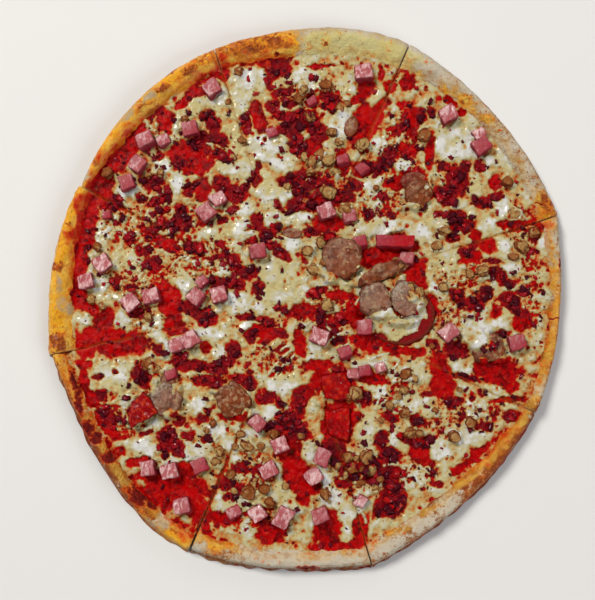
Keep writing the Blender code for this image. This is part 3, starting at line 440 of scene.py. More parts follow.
def waves(x, y, size, seed):
    """Smooth gradient noise, about -1 to 1, whose lumps are this size."""
    draw = np.random.RandomState(seed)
    order = draw.permutation(256)
    turn = draw.uniform(0, 2 * np.pi, 256)
    east, north = np.cos(turn), np.sin(turn)
    u, v = x / size + 0.37 * seed, y / size - 0.61 * seed
    i, j = np.floor(u).astype(int), np.floor(v).astype(int)
    u, v = u - i, v - j

    def corner(di, dj):
        k = order[(order[(i + di) & 255] + j + dj) & 255]
        return east[k] * (u - di) + north[k] * (v - dj)

    ease_u, ease_v = (w * w * w * (w * (6 * w - 15) + 10) for w in (u, v))
    low = corner(0, 0) * (1 - ease_u) + corner(1, 0) * ease_u
    high = corner(0, 1) * (1 - ease_u) + corner(1, 1) * ease_u
    return 1.6 * (low * (1 - ease_v) + high * ease_v)


def rough(x, y, size, octaves, seed, fade=0.55):
    """Noise with finer and finer noise on it."""
    return sum(fade ** k * waves(x, y, size / 2 ** k, seed + k) for k in range(octaves))


def ease(value, low, high):
    """0 below low, 1 above high, and smooth between."""
    share = np.clip((value - low) / (high - low), 0, 1)
    return share * share * (3 - 2 * share)


def cover(x, y, patches, soft=0.3):
    """How deep each place lies in any of the patches: 1 well inside, 0.5 on the edge, 0 outside."""
    found = np.zeros(x.shape)
    for px, py, long, wide, turn in patches:
        c, s = math.cos(math.radians(turn)), math.sin(math.radians(turn))
        dx, dy = x - px, y - py
        away = np.hypot((dx * c + dy * s) / long, (dy * c - dx * s) / wide)
        found = np.maximum(found, (1 + soft - away) / (2 * soft))
    return ease(found, 0, 1)


def through(values, share):
    """The smooth curve through evenly spaced values, at a share of its length."""
    last = len(values) - 1
    total = 0
    for i, value in enumerate(values):
        weight = value
        for j in range(last + 1):
            if j != i:
                weight = weight * (share * last - j) / (i - j)
        total = total + weight
    return total


def rounded(points, steps):
    """A smooth line (Catmull-Rom) through the points of a section."""
    ends = [points[0], *points, points[-1]]
    line = []
    for before, start, end, after in zip(ends, ends[1:], ends[2:], ends[3:]):
        for k in range(steps):
            t = k / steps
            line.append([0.5 * (2 * b + (c - a) * t + (2 * a - 5 * b + 4 * c - d) * t * t
                                + (3 * b - a - 3 * c + d) * t ** 3)
                         for a, b, c, d in zip(before, start, end, after)])
    return np.array([*line, points[-1]])


class Wedge:
    """One slice: where its edge and the foot of its rim lie, by bearing from the hub."""

    def __init__(self, number):
        self.number = number
        bearing, radii, rims, self.lip = SLICES[number]
        span = (SLICES[(number + 1) % len(SLICES)][0] - bearing) % 360
        self.shares = np.linspace(0, 1, 61)
        angle = np.radians(bearing + self.shares * span)
        radius = through(radii, self.shares)
        x, y = radius * np.cos(angle) - HUB[0], radius * np.sin(angle) - HUB[1]
        self.bearings = np.unwrap(np.arctan2(y, x))
        self.edges = np.hypot(x, y)
        self.feet = self.edges - through(rims, self.shares)

    def at(self, share):
        """Bearing, edge and rim foot at a share of the way across."""
        return (np.interp(share, self.shares, v) for v in (self.bearings, self.edges, self.feet))


WEDGES = [Wedge(number) for number in range(len(SLICES))]
RIM_CURVE = rounded(RIM_SECTION, 5)
RIM_ABOVE = RIM_CURVE[:1 + int(np.argmax(RIM_CURVE[:, 0]))]


def locate(x, y):
    """Bearing and distance from the hub, number of the slice, and its rim foot, edge and lip."""
    dx, dy = x - HUB[0], y - HUB[1]
    first = WEDGES[0].bearings[0]
    bearing = first + (np.arctan2(dy, dx) - first) % (2 * np.pi)
    table = []
    for wedge in WEDGES:
        turned = first + (wedge.bearings - first + 1e-9) % (2 * np.pi)
        if turned[-1] < turned[0]:
            turned[-1] += 2 * np.pi
        table.append(turned)
    number = np.searchsorted([t[0] for t in table], bearing, side="right") - 1
    rows = [np.zeros(x.shape) for _ in range(3)]
    for wedge, turned in zip(WEDGES, table):
        own = number == wedge.number
        rows[0][own] = np.interp(bearing[own], turned, wedge.feet)
        rows[1][own] = np.interp(bearing[own], turned, wedge.edges)
        rows[2][own] = wedge.lip
    return bearing, np.hypot(dx, dy), number, rows


def cuts_near(x, y):
    """Signed distance to the nearest cut, distance along it, its number and its direction."""
    dx, dy = x - HUB[0], y - HUB[1]
    best = np.full(x.shape, 1e3)
    along = np.zeros(x.shape)
    which = np.zeros(x.shape, int)
    for wedge in WEDGES:
        c, s = math.cos(wedge.bearings[0]), math.sin(wedge.bearings[0])
        forward, aside = dx * c + dy * s, dy * c - dx * s
        closer = (forward > -2) & (np.abs(aside) < np.abs(best))
        best = np.where(closer, aside, best)
        along = np.where(closer, forward, along)
        which = np.where(closer, wedge.number, which)
    return best, along, which


def half_gap(along, which):
    """Half the width of a cut at a distance from the hub."""
    open_at_rim = np.array([row[0] for row in CUTS])[which]
    widening = ease(along, *GAP_OPENS)
    return (GAP_INSIDE + (open_at_rim - GAP_INSIDE) * widening) / 2


def crown(x, y, across, sizes):
    """Height of the rim's upper surface at a share of the way across it."""
    level = np.interp(across, RIM_ABOVE[:, 0], RIM_ABOVE[:, 1])
    full = sizes.rim_height / MM + 1.3 * waves(x, y, 26, 3) + 0.8 * waves(x, y, 11, 4)
    bumps = sum(high * ease(1 - np.hypot(x - px, y - py) / reach, 0, 1)
                for px, py, reach, high in BLISTERS)
    fine = 0.28 * waves(x, y, 4.5, 5) + 0.14 * waves(x, y, 2.1, 6)
    aside, along, _ = cuts_near(x, y)
    pinch = 1.7 * np.exp(-(np.abs(aside) / 1.9) ** 1.5) * ease(along, 120, 150)
    body = ease(level, 0.36, 0.8)
    return level * full + body * (bumps + fine - pinch)


def stirred(x, y):
    """The same places, pushed about so that patches get ragged edges."""
    return (x + 1.5 * waves(x, y, 8, 11) + 0.9 * waves(x, y, 3.1, 12),
            y + 1.5 * waves(x, y, 8, 13) + 0.9 * waves(x, y, 3.1, 14))


def lap(x, y):
    """How far the sauce climbs the rim."""
    return np.maximum(4.2 + 2.6 * waves(x, y, 10, 31) + 1.2 * waves(x, y, 4, 32), 1.0)


def threads(x, y, ragged):
    """How near each place lies to a stretched thread of cheese: 1 on one, 0 away from all."""
    found = np.zeros(x.shape)
    for ax, ay, bx, by, bow in STREAKS:
        length = math.hypot(bx - ax, by - ay)
        ux, uy = (bx - ax) / length, (by - ay) / length
        forward = (x - ax) * ux + (y - ay) * uy
        share = np.clip(forward / length, 0, 1)
        off = np.hypot(forward - share * length,
                       (y - ay) * ux - (x - ax) * uy - 4 * bow * share * (1 - share))
        found = np.maximum(found, np.exp(-(off / (0.75 + 0.35 * ragged)) ** 2))
    return found


def mounded(level, x, y):
    """The cheese's level, drawn up round crumbles and dice and over the edges of slices."""
    ragged = waves(x, y, 3.6, 48)
    for px, py, size in CRUMBLES:
        near = np.hypot(x - px, y - py) / (0.62 * size)
        level = level + 0.32 * size * ease(1.35 - near, 0, 1) * (0.7 + 0.6 * ragged)
    for px, py, reach in STANDING:
        near = np.hypot(x - px, y - py)
        level = level + (0.7 + 0.5 * ragged) * np.exp(-((near - 0.95 * reach) / 1.5) ** 2)
    sx, sy = stirred(x, y)
    return level + np.max([rise * cover(sx, sy, (patch,), 0.45) for *patch, rise in SMEARS], 0)


def toppings(x, y, sizes):
    """The sauce and cheese sheet at each place: height, and what its finish depends on."""
    sx, sy = stirred(x, y)
    sauce, bacon = cover(sx, sy, SAUCE, 0.42), cover(sx, sy, BACON, 0.36)
    cheese, mottled = cover(sx, sy, CHEESE, 0.5), cover(x, y, MOTTLED, 0.5)
    _, away, _, (foot, edge, lip) = locate(x, y)
    aside, along, which = cuts_near(x, y)
    near_cut = np.exp(-(aside / 1.5) ** 2) * ease(along, 25, 90)
    depth = np.array([row[1] for row in CUTS])[which]
    wet_cut = np.array([row[2] for row in CUTS])[which] * ease(along, 60, 120)

    coarse = rough(x, y, 7.5, 2, 21)
    fine = rough(x, y, 2.9, 2, 25)
    field = (0.43 + 0.42 * coarse + (0.20 + 0.34 * mottled) * fine - 0.20 * mottled
             + 0.55 * cheese - 1.2 * np.maximum(sauce, 0.8 * bacon))
    field -= wet_cut * np.exp(-(aside / 1.1) ** 2)
    over_rim = (away - foot) / lap(x, y)
    stain = np.interp(np.degrees(np.arctan2(y, x)) % 360, *np.array(BAKE).T[[0, 4]])
    field += (0.30 - 0.95 * stain * (1 - 0.5 * cheese)) * ease(over_rim, -0.9, 0.3)

    field = np.maximum(field, 1.1 * threads(x, y, fine) - 0.1)

    thick = sizes.cheese_thickness / MM * ease(field, -0.2, 0.9)
    body = ease(field, 0.0, 0.5)
    level = (sizes.sauce_level / MM + 0.3 * waves(x, y, 13, 41) + 0.22 * waves(x, y, 4, 42)
             + thick + body * (0.5 * waves(x, y, 8, 43) + 0.22 * waves(x, y, 3.2, 44))
             + (1 - body) * (0.3 * waves(x, y, 4.4, 46) + 0.12 * waves(x, y, 1.8, 47))
             + 0.35 * bacon)
    level = mounded(level - depth * near_cut * 0.55, x, y)
    largest_deep_slice = DEEP_SLICES[0][:5]
    level += 1.3 * cover(x, y, (largest_deep_slice,), 0.1) * ease(field, 0.1, 0.3)
    across = np.clip((away - foot) / (edge - lip - foot), 0, 1)
    film = 1.0 * (1 - over_rim) - 0.42
    lapped = crown(x, y, across, sizes) + film
    on_rim = ease(away - foot, -3.0, 0.5)
    height = np.where(lapped > level, level + (lapped - level) * on_rim, level)
    height = np.where(away > foot, np.maximum(np.minimum(level, lapped + 3), lapped), height)
    return {
        "height": height, "cheese": field, "bacon": bacon, "sauce": sauce,
        "yellow": cover(sx, sy, YELLOW, 0.5), "rim": np.clip(over_rim, 0, 1.2),
        "cut": near_cut * ease(along, 40, 120), "mottled": mottled, "stain": stain,
    }


# ---------------------------------------------------------------------------------------------
# Working on pieces
# ---------------------------------------------------------------------------------------------

def clear_selection():
    """Leave edit mode, with nothing selected."""
    if bpy.context.object and bpy.context.object.mode != "OBJECT":
        bpy.ops.object.mode_set(mode="OBJECT")
    bpy.ops.object.select_all(action="DESELECT")


def hold(piece):
    """Make this the one selected and active piece."""
    clear_selection()
    piece.select_set(True)
    bpy.context.view_layer.objects.active = piece


@contextmanager
def editing(piece, action="SELECT"):
    """Edit mode, with all of the piece selected, or none of it."""
    hold(piece)
    bpy.ops.object.mode_set(mode="EDIT")
    bpy.ops.mesh.select_all(action=action)
    yield
    bpy.ops.object.mode_set(mode="OBJECT")


def read(piece):
    """A piece's corners: x, y and z in millimetres."""
    flat = np.empty(3 * len(piece.data.vertices), np.float32)
    piece.data.vertices.foreach_get("co", flat)
    return flat.reshape(-1, 3).T.astype(float) / MM


def write(piece, x, y, z):
    """Move a piece's corners to these places in millimetres."""
    piece.data.vertices.foreach_set("co", (np.stack((x, y, z), 1) * MM).astype(np.float32).ravel())
    piece.data.update()


def normals_of(piece):
    """The direction that the surface faces at each corner."""
    flat = np.empty(3 * len(piece.data.vertices), np.float32)
    piece.data.vertices.foreach_get("normal", flat)
    return flat.reshape(-1, 3).T.astype(float)


def paint(piece, **values):
    """Store a number on every corner, for the finish to read."""
    for name, numbers in values.items():
        layer = piece.data.attributes.get(name) or piece.data.attributes.new(name, "FLOAT", "POINT")
        count = len(piece.data.vertices)
        layer.data.foreach_set("value", np.broadcast_to(numbers, count).astype(np.float32))


def cut_away(piece, corners):
    """Delete some corners, and the faces on them."""
    with editing(piece, "DESELECT"):
        bpy.ops.mesh.select_mode(type="VERT")
    piece.data.vertices.foreach_set("select", corners)
    bpy.ops.object.mode_set(mode="EDIT")
    bpy.ops.mesh.delete(type="VERT")
    bpy.ops.object.mode_set(mode="OBJECT")


def grid(name, columns, rows):
    """A flat grid, and for each corner its column and its share of the way along the rows."""
    clear_selection()
    bpy.ops.mesh.primitive_grid_add(x_subdivisions=columns, y_subdivisions=rows, size=1)
    piece = bpy.context.object
    piece.name = name
    x, y, _ = read(piece) * MM
    return piece, np.rint((x + 0.5) * columns).astype(int), y + 0.5


def finish_piece(piece, name, slot, material, *nodes):
    """Name a piece, give it its finish and hang it on the frame."""
    hold(piece)
    piece.name = piece.data.name = name
    piece.data.materials.clear()
    piece.data.materials.append(material)
    bpy.ops.object.shade_smooth()
    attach(piece, "root")
    if nodes:
        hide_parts(*nodes)
    return piece


def standing():
    """Middle and reach of every piece that stands in the cheese."""
    found = []
    for name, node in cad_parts.items():
        if name.startswith(("ham", "sausage", "pepper")):
            x, y, _ = read(node)
            found.append(((x.min() + x.max()) / 2, (y.min() + y.max()) / 2,
                          (np.ptp(x) + np.ptp(y)) / 4))
    return found


STANDING = standing()


def bake_crust(wedge, sizes):
    """One slice's dough: a flat wedge with its raised rim, closed round the section."""
    under = [("base", 0.0, 0.0), ("base", 0.5, 0.0), ("base", 1.0, 0.0)]
    lip = [("lip", a, h) for a, h in reversed(rounded(LIP_SECTION, 4))]
    bulge = [("bulge", a, h) for a, h in reversed(RIM_CURVE)]
    section = under + lip + bulge + [("base", 0.5, 1.0), ("base", 0.0, 1.0)]
    count, steps = len(section), sizes.crust_steps
    piece, column, share = grid("crust", count, steps)
    share = 0.55 * share + 0.45 * (1 - np.cos(np.pi * share)) / 2
    zone, across, height = (np.array([row[k] for row in section])[column % count] for k in range(3))
    bearing, edge, foot = wedge.at(share)
    shoulder = edge - wedge.lip
    lip_width = wedge.lip * (1 + 0.5 * waves(bearing * edge, 0 * edge, 9, 61 + wedge.number))
    away = np.select(
        [zone == "base", zone == "lip"],
        [TIP + across * (foot - TIP), shoulder - 1.2 + across * (lip_width + 1.2)],
        foot + across * (shoulder - foot))
    arc = bearing * edge
    side = ease(across, 0.9, 1.0) * (zone == "bulge")
    away += side * (0.5 * waves(arc, height * 14, 7, 63) + 0.2 * waves(arc, height * 12, 2.6, 64))
    sides = np.where(share < 0.5, wedge.number, (wedge.number + 1) % len(SLICES))
    inset = np.arcsin(np.clip(half_gap(away, sides) / away, 0, 1))
    angle = bearing + inset * (1 - 2 * share)
    x, y = HUB[0] + away * np.cos(angle), HUB[1] + away * np.sin(angle)
    top = crown(x, y, np.clip(across, 0, 1), sizes)
    lower = height * (sizes.rim_height / MM) * (1 + 0.05 * waves(arc, 0 * arc, 10, 65))
    upper = (zone == "bulge") & (column % count > len(under) + len(lip)
                                 + len(RIM_CURVE) - len(RIM_ABOVE) - 1)
    z = np.select([zone == "base", upper], [height * BASE_TOP, top], lower)
    z = np.where(zone == "lip", lower + 0.25 * ease(across, 0.3, 1) * waves(arc, 0 * arc, 6, 66), z)
    z = np.where((zone == "lip") & (height < 0.03), np.maximum(z, 0.0), z)
    write(piece, x, y, np.maximum(z, 0.0))
    with editing(piece):
        bpy.ops.mesh.remove_doubles(threshold=0.004 * MM)
        bpy.ops.mesh.select_all(action="DESELECT")
        bpy.ops.mesh.select_non_manifold(extend=False)
        bpy.ops.mesh.fill_holes(sides=0)
        bpy.ops.mesh.select_all(action="SELECT")
        bpy.ops.mesh.normals_make_consistent(inside=False)
    return piece


def brown_crust(piece):
    """Store what the oven did to each corner of a crust, for its finish."""
    x, y, z = read(piece)
    _, away, _, (foot, edge, _) = locate(x, y)
    bearing = np.degrees(np.arctan2(y, x)) % 360
    sx, sy = stirred(x, y)
    table = np.array(BAKE).T
    golden, brown, rim_edge, stain = (np.interp(bearing, table[0], row) for row in table[1:])
    u = (away - foot) / (edge - foot)
    pale = cover(sx, sy, CRUST_PALE, 0.75)
    orange = cover(sx, sy, CRUST_ORANGE, 0.5)
    oily_from, oily_full, oily_until, oily_over = OILY
    paint(
        piece,
        golden=np.clip(golden + 0.5 * orange - 0.5 * pale + 0.25 * waves(x, y, 12, 71), 0, 1.3),
        brown=np.clip(brown * (1 - 0.7 * pale) + 0.9 * cover(sx, sy, CRUST_BROWN, 0.5)
                      + 0.25 * orange, 0, 1.5),
        char=cover(sx, sy, CRUST_CHAR, 0.55),
        across=np.clip(u, -1, 1.2),
        edge=rim_edge * ease(u, 0.86, 0.97),
        stain=stain * ease(foot + 7.0 + 4.5 * waves(x, y, 8, 72) - away, -4.0, 3.0),
        side=1 - ease(z, 2.5, 8.0),
        oil=np.exp(-((away - foot - 5.5 - 2.2 * waves(x, y, 9, 73)) / 2.8) ** 2),
        lime=(ease(bearing, oily_from, oily_full) * ease(-bearing, -oily_over, -oily_until)
              * ease(-u, -1.0, -0.55)),
        cutface=np.exp(-(np.abs(cuts_near(x, y)[0]) / 0.9) ** 2) * ease(away, 60, 90),
    )


def spread_toppings(wedge, sizes):
    """One slice's sauce and cheese: a fine grid trimmed to the slice, shaped and walled."""
    step = sizes.detail / MM
    reach = wedge.feet.max() + 8
    low, high = wedge.bearings[0], wedge.bearings[-1]
    fan = np.linspace(low, high, 30)
    xs = np.append(HUB[0] + reach * np.cos(fan), HUB[0])
    ys = np.append(HUB[1] + reach * np.sin(fan), HUB[1])
    left, bottom = (math.floor(v.min() / step) - 2 for v in (xs, ys))
    columns, rows = (math.ceil(v.max() / step) + 2 - k for v, k in ((xs, left), (ys, bottom)))
    piece, column, row = grid("toppings", columns, rows)
    x, y = (left + column) * step, (bottom + np.rint(row * rows)) * step
    write(piece, x, y, 0 * x)
    for angle, sign in ((low, 1), (high, -1)):
        normal = Vector((-math.sin(angle), math.cos(angle), 0)) * sign
        point = Vector((*HUB, 0)) + normal * GAP_INSIDE / 2
        with editing(piece):
            bpy.ops.mesh.bisect(plane_co=point * MM, plane_no=normal, clear_inner=True)
    x, y, _ = read(piece)
    _, away, _, (foot, _, _) = locate(x, y)
    over = (away - foot) / lap(x, y)
    cut_away(piece, (over > 1.12) | (away > reach - 0.5))

    x, y, _ = read(piece)
    found = toppings(x, y, sizes)
    aside, along, which = cuts_near(x, y)
    paint(piece, **{name: values for name, values in found.items() if name != "height"})
    direction = np.array([w.bearings[0] for w in WEDGES])[which]
    wobble = 0.7 * waves(along, which * 9.0, 14, 81) + 0.3 * waves(along, which * 9.0, 5, 82)
    gap = half_gap(along, which) * (1 + 0.5 * waves(along, which * 7.0, 8, 83)) - GAP_INSIDE / 2
    push = np.exp(-(aside / 2.2) ** 2) * ease(along, 6, 25)
    push = push * (wobble + np.sign(aside) * np.maximum(gap, 0))
    round_off = 0.5 * np.exp(-(np.abs(aside) / 0.7) ** 1.5) * ease(along, 70, 150)
    write(piece, x - push * np.sin(direction), y + push * np.cos(direction),
          found["height"] - round_off)
    wall_in(piece)
    return piece


def wall_in(piece):
    """Close a sheet with walls down to its flat underside."""
    with editing(piece, "DESELECT"):
        bpy.ops.mesh.select_mode(type="EDGE")
        bpy.ops.mesh.select_non_manifold(extend=False)
        bpy.ops.mesh.extrude_region_move()
    walls = np.zeros(len(piece.data.vertices), bool)
    piece.data.vertices.foreach_get("select", walls)
    x, y, z = read(piece)
    write(piece, x, y, np.where(walls, SHEET_BOTTOM, z))
    bpy.ops.object.mode_set(mode="EDIT")
    bpy.ops.mesh.edge_face_add()
    bpy.ops.mesh.select_all(action="SELECT")
    bpy.ops.mesh.normals_make_consistent(inside=False)
    bpy.ops.object.mode_set(mode="OBJECT")


def sunk_copy(node, deeper, rounds):
    """A CAD piece's shape, reaching deeper into the cheese, remeshed fine and softened."""
    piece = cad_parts[node].copy()
    piece.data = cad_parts[node].data.copy()
    piece.parent = None
    piece.matrix_world = Matrix.Identity(4)
    for key in [key for key in piece.keys() if key.startswith("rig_")]:
        del piece[key]
    bpy.context.scene.collection.objects.link(piece)
    piece.hide_render = piece.hide_viewport = False
    with editing(piece):
        bpy.ops.mesh.remove_doubles(threshold=0.01 * MM)
    x, y, z = read(piece)
    underside = z < z.min() + 0.9
    write(piece, x, y, np.where(underside, z - deeper, z))
    return remeshed(piece, rounds)


def remeshed(piece, rounds, voxel=VOXEL):
    """Voxel remesh, then rounds of smoothing that round the edges."""
    hold(piece)
    piece.data.remesh_voxel_size = voxel * MM
    piece.data.remesh_voxel_adaptivity = 0
    bpy.ops.object.voxel_remesh()
    modifier = piece.modifiers.new("soften", "SMOOTH")
    modifier.factor, modifier.iterations = 0.5, rounds
    bpy.ops.object.modifier_apply(modifier=modifier.name)
    return piece


def ruffle(piece, amounts, seed):
    """Push the surface in and out by noise: pairs of size and amount."""
    x, y, z = read(piece)
    nx, ny, nz = normals_of(piece)
    out = sum(amount * waves(x + 0.7 * z, y - 0.6 * z, size, seed + k)
              for k, (size, amount) in enumerate(amounts))
    write(piece, x + nx * out, y + ny * out, z + nz * out)


def reshape(piece, outline):
    """Stretch a piece outwards from the middle until it fills an outline."""
    x, y, z = read(piece)
    middle = np.mean(outline, 0)
    dx, dy = x - (x.min() + x.max()) / 2, y - (y.min() + y.max()) / 2
    angle, reach = np.arctan2(dy, dx), np.hypot(dx, dy)
    count = 48
    spokes = np.linspace(-np.pi, np.pi, count, endpoint=False)
    own = np.zeros(count)
    np.maximum.at(own, np.rint((angle + np.pi) / (2 * np.pi) * count).astype(int) % count, reach)
    share = np.linspace(0, 1, 12, endpoint=False)[:, None]
    ring = np.concatenate([(1 - share) * a + share * b for a, b in
                           zip(np.array(outline), np.roll(outline, -1, 0))]) - middle
    full = np.interp(angle, np.arctan2(ring[:, 1], ring[:, 0]), np.hypot(*ring.T),
                     period=2 * np.pi)
    reach = reach / np.interp(angle, spokes, own, period=2 * np.pi) * full
    write(piece, middle[0] + reach * np.cos(angle), middle[1] + reach * np.sin(angle), z)


def join(pieces):
    """Join the pieces into the first."""
    clear_selection()
    for piece in pieces:
        piece.select_set(True)
    bpy.context.view_layer.objects.active = pieces[0]
    bpy.ops.object.join()
    return pieces[0]


def pose(place, turns, scales):
    """Scale a shape, turn it about x, y and z, and move it to a place in millimetres."""
    return (Matrix.Translation(Vector(place) * MM) @ Euler(turns).to_matrix().to_4x4()
            @ Matrix.Diagonal((*scales, 1)))


def copies(shapes, rows, tones):
    """Copy the shapes to every row's place, turn and size, and join the copies.

    A row is x, y, z, three turns in radians and three scales.
    """
    made = []
    for row, tone in zip(rows, tones):
        shape = shapes[len(made) % len(shapes)]
        piece = shape.copy()
        piece.data = shape.data.copy()
        piece.data.transform(pose(row[:3], row[3:6], row[6:9]))
        bpy.context.scene.collection.objects.link(piece)
        paint(piece, tone=tone)
        made.append(piece)
    joined = join(made)
    for shape in shapes:
        bpy.data.objects.remove(shape)
    return joined


def lump(seed, rings, rugged):
    """A rough lump about a millimetre across, modelled once."""
    clear_selection()
    bpy.ops.mesh.primitive_ico_sphere_add(subdivisions=rings, radius=0.5 * MM)
    piece = bpy.context.object
    x, y, z = read(piece)
    wide = (1 + rugged * waves(x + z, y - z, 0.55, seed)
            + 0.5 * rugged * waves(x - z, y + z, 0.27, seed + 1))
    write(piece, x * wide, y * wide, z * wide)
    return piece


def chip(seed):
    """A crooked chip of bacon, a millimetre long, modelled once."""
    clear_selection()
    bpy.ops.mesh.primitive_cube_add(size=MM)
    piece = bpy.context.object
    with editing(piece):
        bpy.ops.mesh.subdivide(number_cuts=2, smoothness=0.3)
    x, y, z = read(piece)
    draw = np.random.RandomState(seed)
    ragged = 1 + 0.5 * waves(x + z, y - z, 0.6, seed) + 0.3 * waves(x - z, y + z, 0.3, seed + 1)
    x, y, z = (v * ragged * draw.uniform(0.85, 1.12, v.shape) for v in (x, y, z))
    bow = draw.uniform(-0.7, 0.7)
    write(piece, x, y + bow * x * x, z + 0.5 * bow * np.sin(4 * x))
    return piece


# ---------------------------------------------------------------------------------------------
# Finishes
# ---------------------------------------------------------------------------------------------

class Number:
    """A number socket of a material, for sums."""

    def __init__(self, finish, socket):
        self.finish, self.socket = finish, socket

    def math(self, operation, *others, clamp=False):
        node = self.finish.add("ShaderNodeMath", {"operation": operation, "use_clamp": clamp},
                               *[self, *others])
        return Number(self.finish, node.outputs[0])

    def __add__(self, other):
        return self.math("ADD", other)

    def __mul__(self, other):
        return self.math("MULTIPLY", other)

    def __sub__(self, other):
        return self.math("SUBTRACT", other)

    def __rsub__(self, other):
        return (self * -1).math("ADD", other)

    __radd__, __rmul__ = __add__, __mul__

    def clip(self):
        """Kept between 0 and 1."""
        return self.math("ADD", 0.0, clamp=True)

    def eased(self, low, high):
        """0 below low, 1 above high, smooth between."""
        node = self.finish.add("ShaderNodeMapRange", {"interpolation_type": "SMOOTHSTEP"},
                               self, low, high, 0.0, 1.0)
        return Number(self.finish, node.outputs[0])


# sockets of the node that mixes two colours: the share, the first and the second
MIX_COLOUR_SLOTS = (0, 6, 7)


class Finish:
    """A procedural material: every node comes from add."""

    def __init__(self, name, **constants):
        self.material = bpy.data.materials.new(name)
        self.material.use_nodes = True
        self.tree = self.material.node_tree
        self.shader = self.tree.nodes["Principled BSDF"]
        for socket, value in constants.items():
            self.shader.inputs[socket.replace("_", " ").title()
                               .replace("Ior", "IOR")].default_value = value
        self.where = self.add("ShaderNodeTexCoord").outputs["Object"]

    def add(self, kind, settings=None, *values, **named):
        """A node, its settings, and the values or links of its sockets."""
        node = self.tree.nodes.new(kind)
        for name, value in (settings or {}).items():
            setattr(node, name, value)
        pairs = list(zip(node.inputs, values))
        pairs += [(node.inputs[name.replace("_", " ")], value) for name, value in named.items()]
        for socket, value in pairs:
            self.feed(socket, value)
        return node

    def feed(self, socket, value):
        """Link a socket, or set its value."""
        if isinstance(value, Number):
            value = value.socket
        if isinstance(value, bpy.types.NodeSocket):
            self.tree.links.new(value, socket)
        elif isinstance(value, (tuple, list)) or hasattr(value, "__len__"):
            value = tuple(value)
            socket.default_value = (*value, 1)[:len(socket.default_value)]
        else:
            socket.default_value = value

    def value(self, name):
        """A number that the piece stores on its corners."""
        node = self.add("ShaderNodeAttribute", {"attribute_name": name})
        return Number(self, node.outputs["Fac"])

    def noise(self, size, detail=2, warp=0.0, stretch=None):
        """Noise about 0 whose lumps are this many millimetres."""
        where = self.where
        if stretch:
            where = self.add("ShaderNodeMapping", None, Vector=where, Scale=stretch).outputs[0]
        node = self.add("ShaderNodeTexNoise", None, Vector=where, Scale=1 / (size * MM),
                        Detail=detail, Distortion=warp)
        return (Number(self, node.outputs[0]) - 0.5) * 2

    def cells(self, size, warp):
        """Voronoi cells: distance to the middle in cell sizes, and a random number a cell."""
        wobble = self.add("ShaderNodeTexNoise", None, Vector=self.where, Scale=1 / (size * MM))
        shift = self.add("ShaderNodeVectorMath", {"operation": "SCALE"},
                         wobble.outputs["Color"], Scale=warp * MM)
        where = self.add("ShaderNodeVectorMath", {"operation": "ADD"}, self.where,
                         shift.outputs[0]).outputs[0]
        node = self.add("ShaderNodeTexVoronoi", None, Vector=where, Scale=1 / (size * MM))
        picks = self.add("ShaderNodeSeparateColor", None, node.outputs["Color"])
        return Number(self, node.outputs["Distance"]), Number(self, picks.outputs[0])

    def mix(self, share, first, second):
        """The first colour, with a share of the second over it."""
        node = self.add("ShaderNodeMix", {"data_type": "RGBA"})
        for slot, value in zip(MIX_COLOUR_SLOTS, (share, first, second)):
            self.feed(node.inputs[slot], value)
        return node.outputs[2]

    def facing(self):
        """How far the surface faces up."""
        normal = self.add("ShaderNodeNewGeometry").outputs["Normal"]
        return Number(self, self.add("ShaderNodeSeparateXYZ", None, normal).outputs[2])

    def done(self, colour, roughness, bumps=None, distance=0.4, coat=None):
        """The material. The bumps' height is in this many millimetres."""
        self.feed(self.shader.inputs["Base Color"], colour)
        self.feed(self.shader.inputs["Roughness"], roughness)
        if coat is not None:
            self.feed(self.shader.inputs["Coat Weight"], coat)
        if bumps is not None:
            bump = self.add("ShaderNodeBump", None, Distance=distance * MM, Height=bumps)
            self.feed(self.shader.inputs["Normal"], bump.outputs[0])
        return self.material


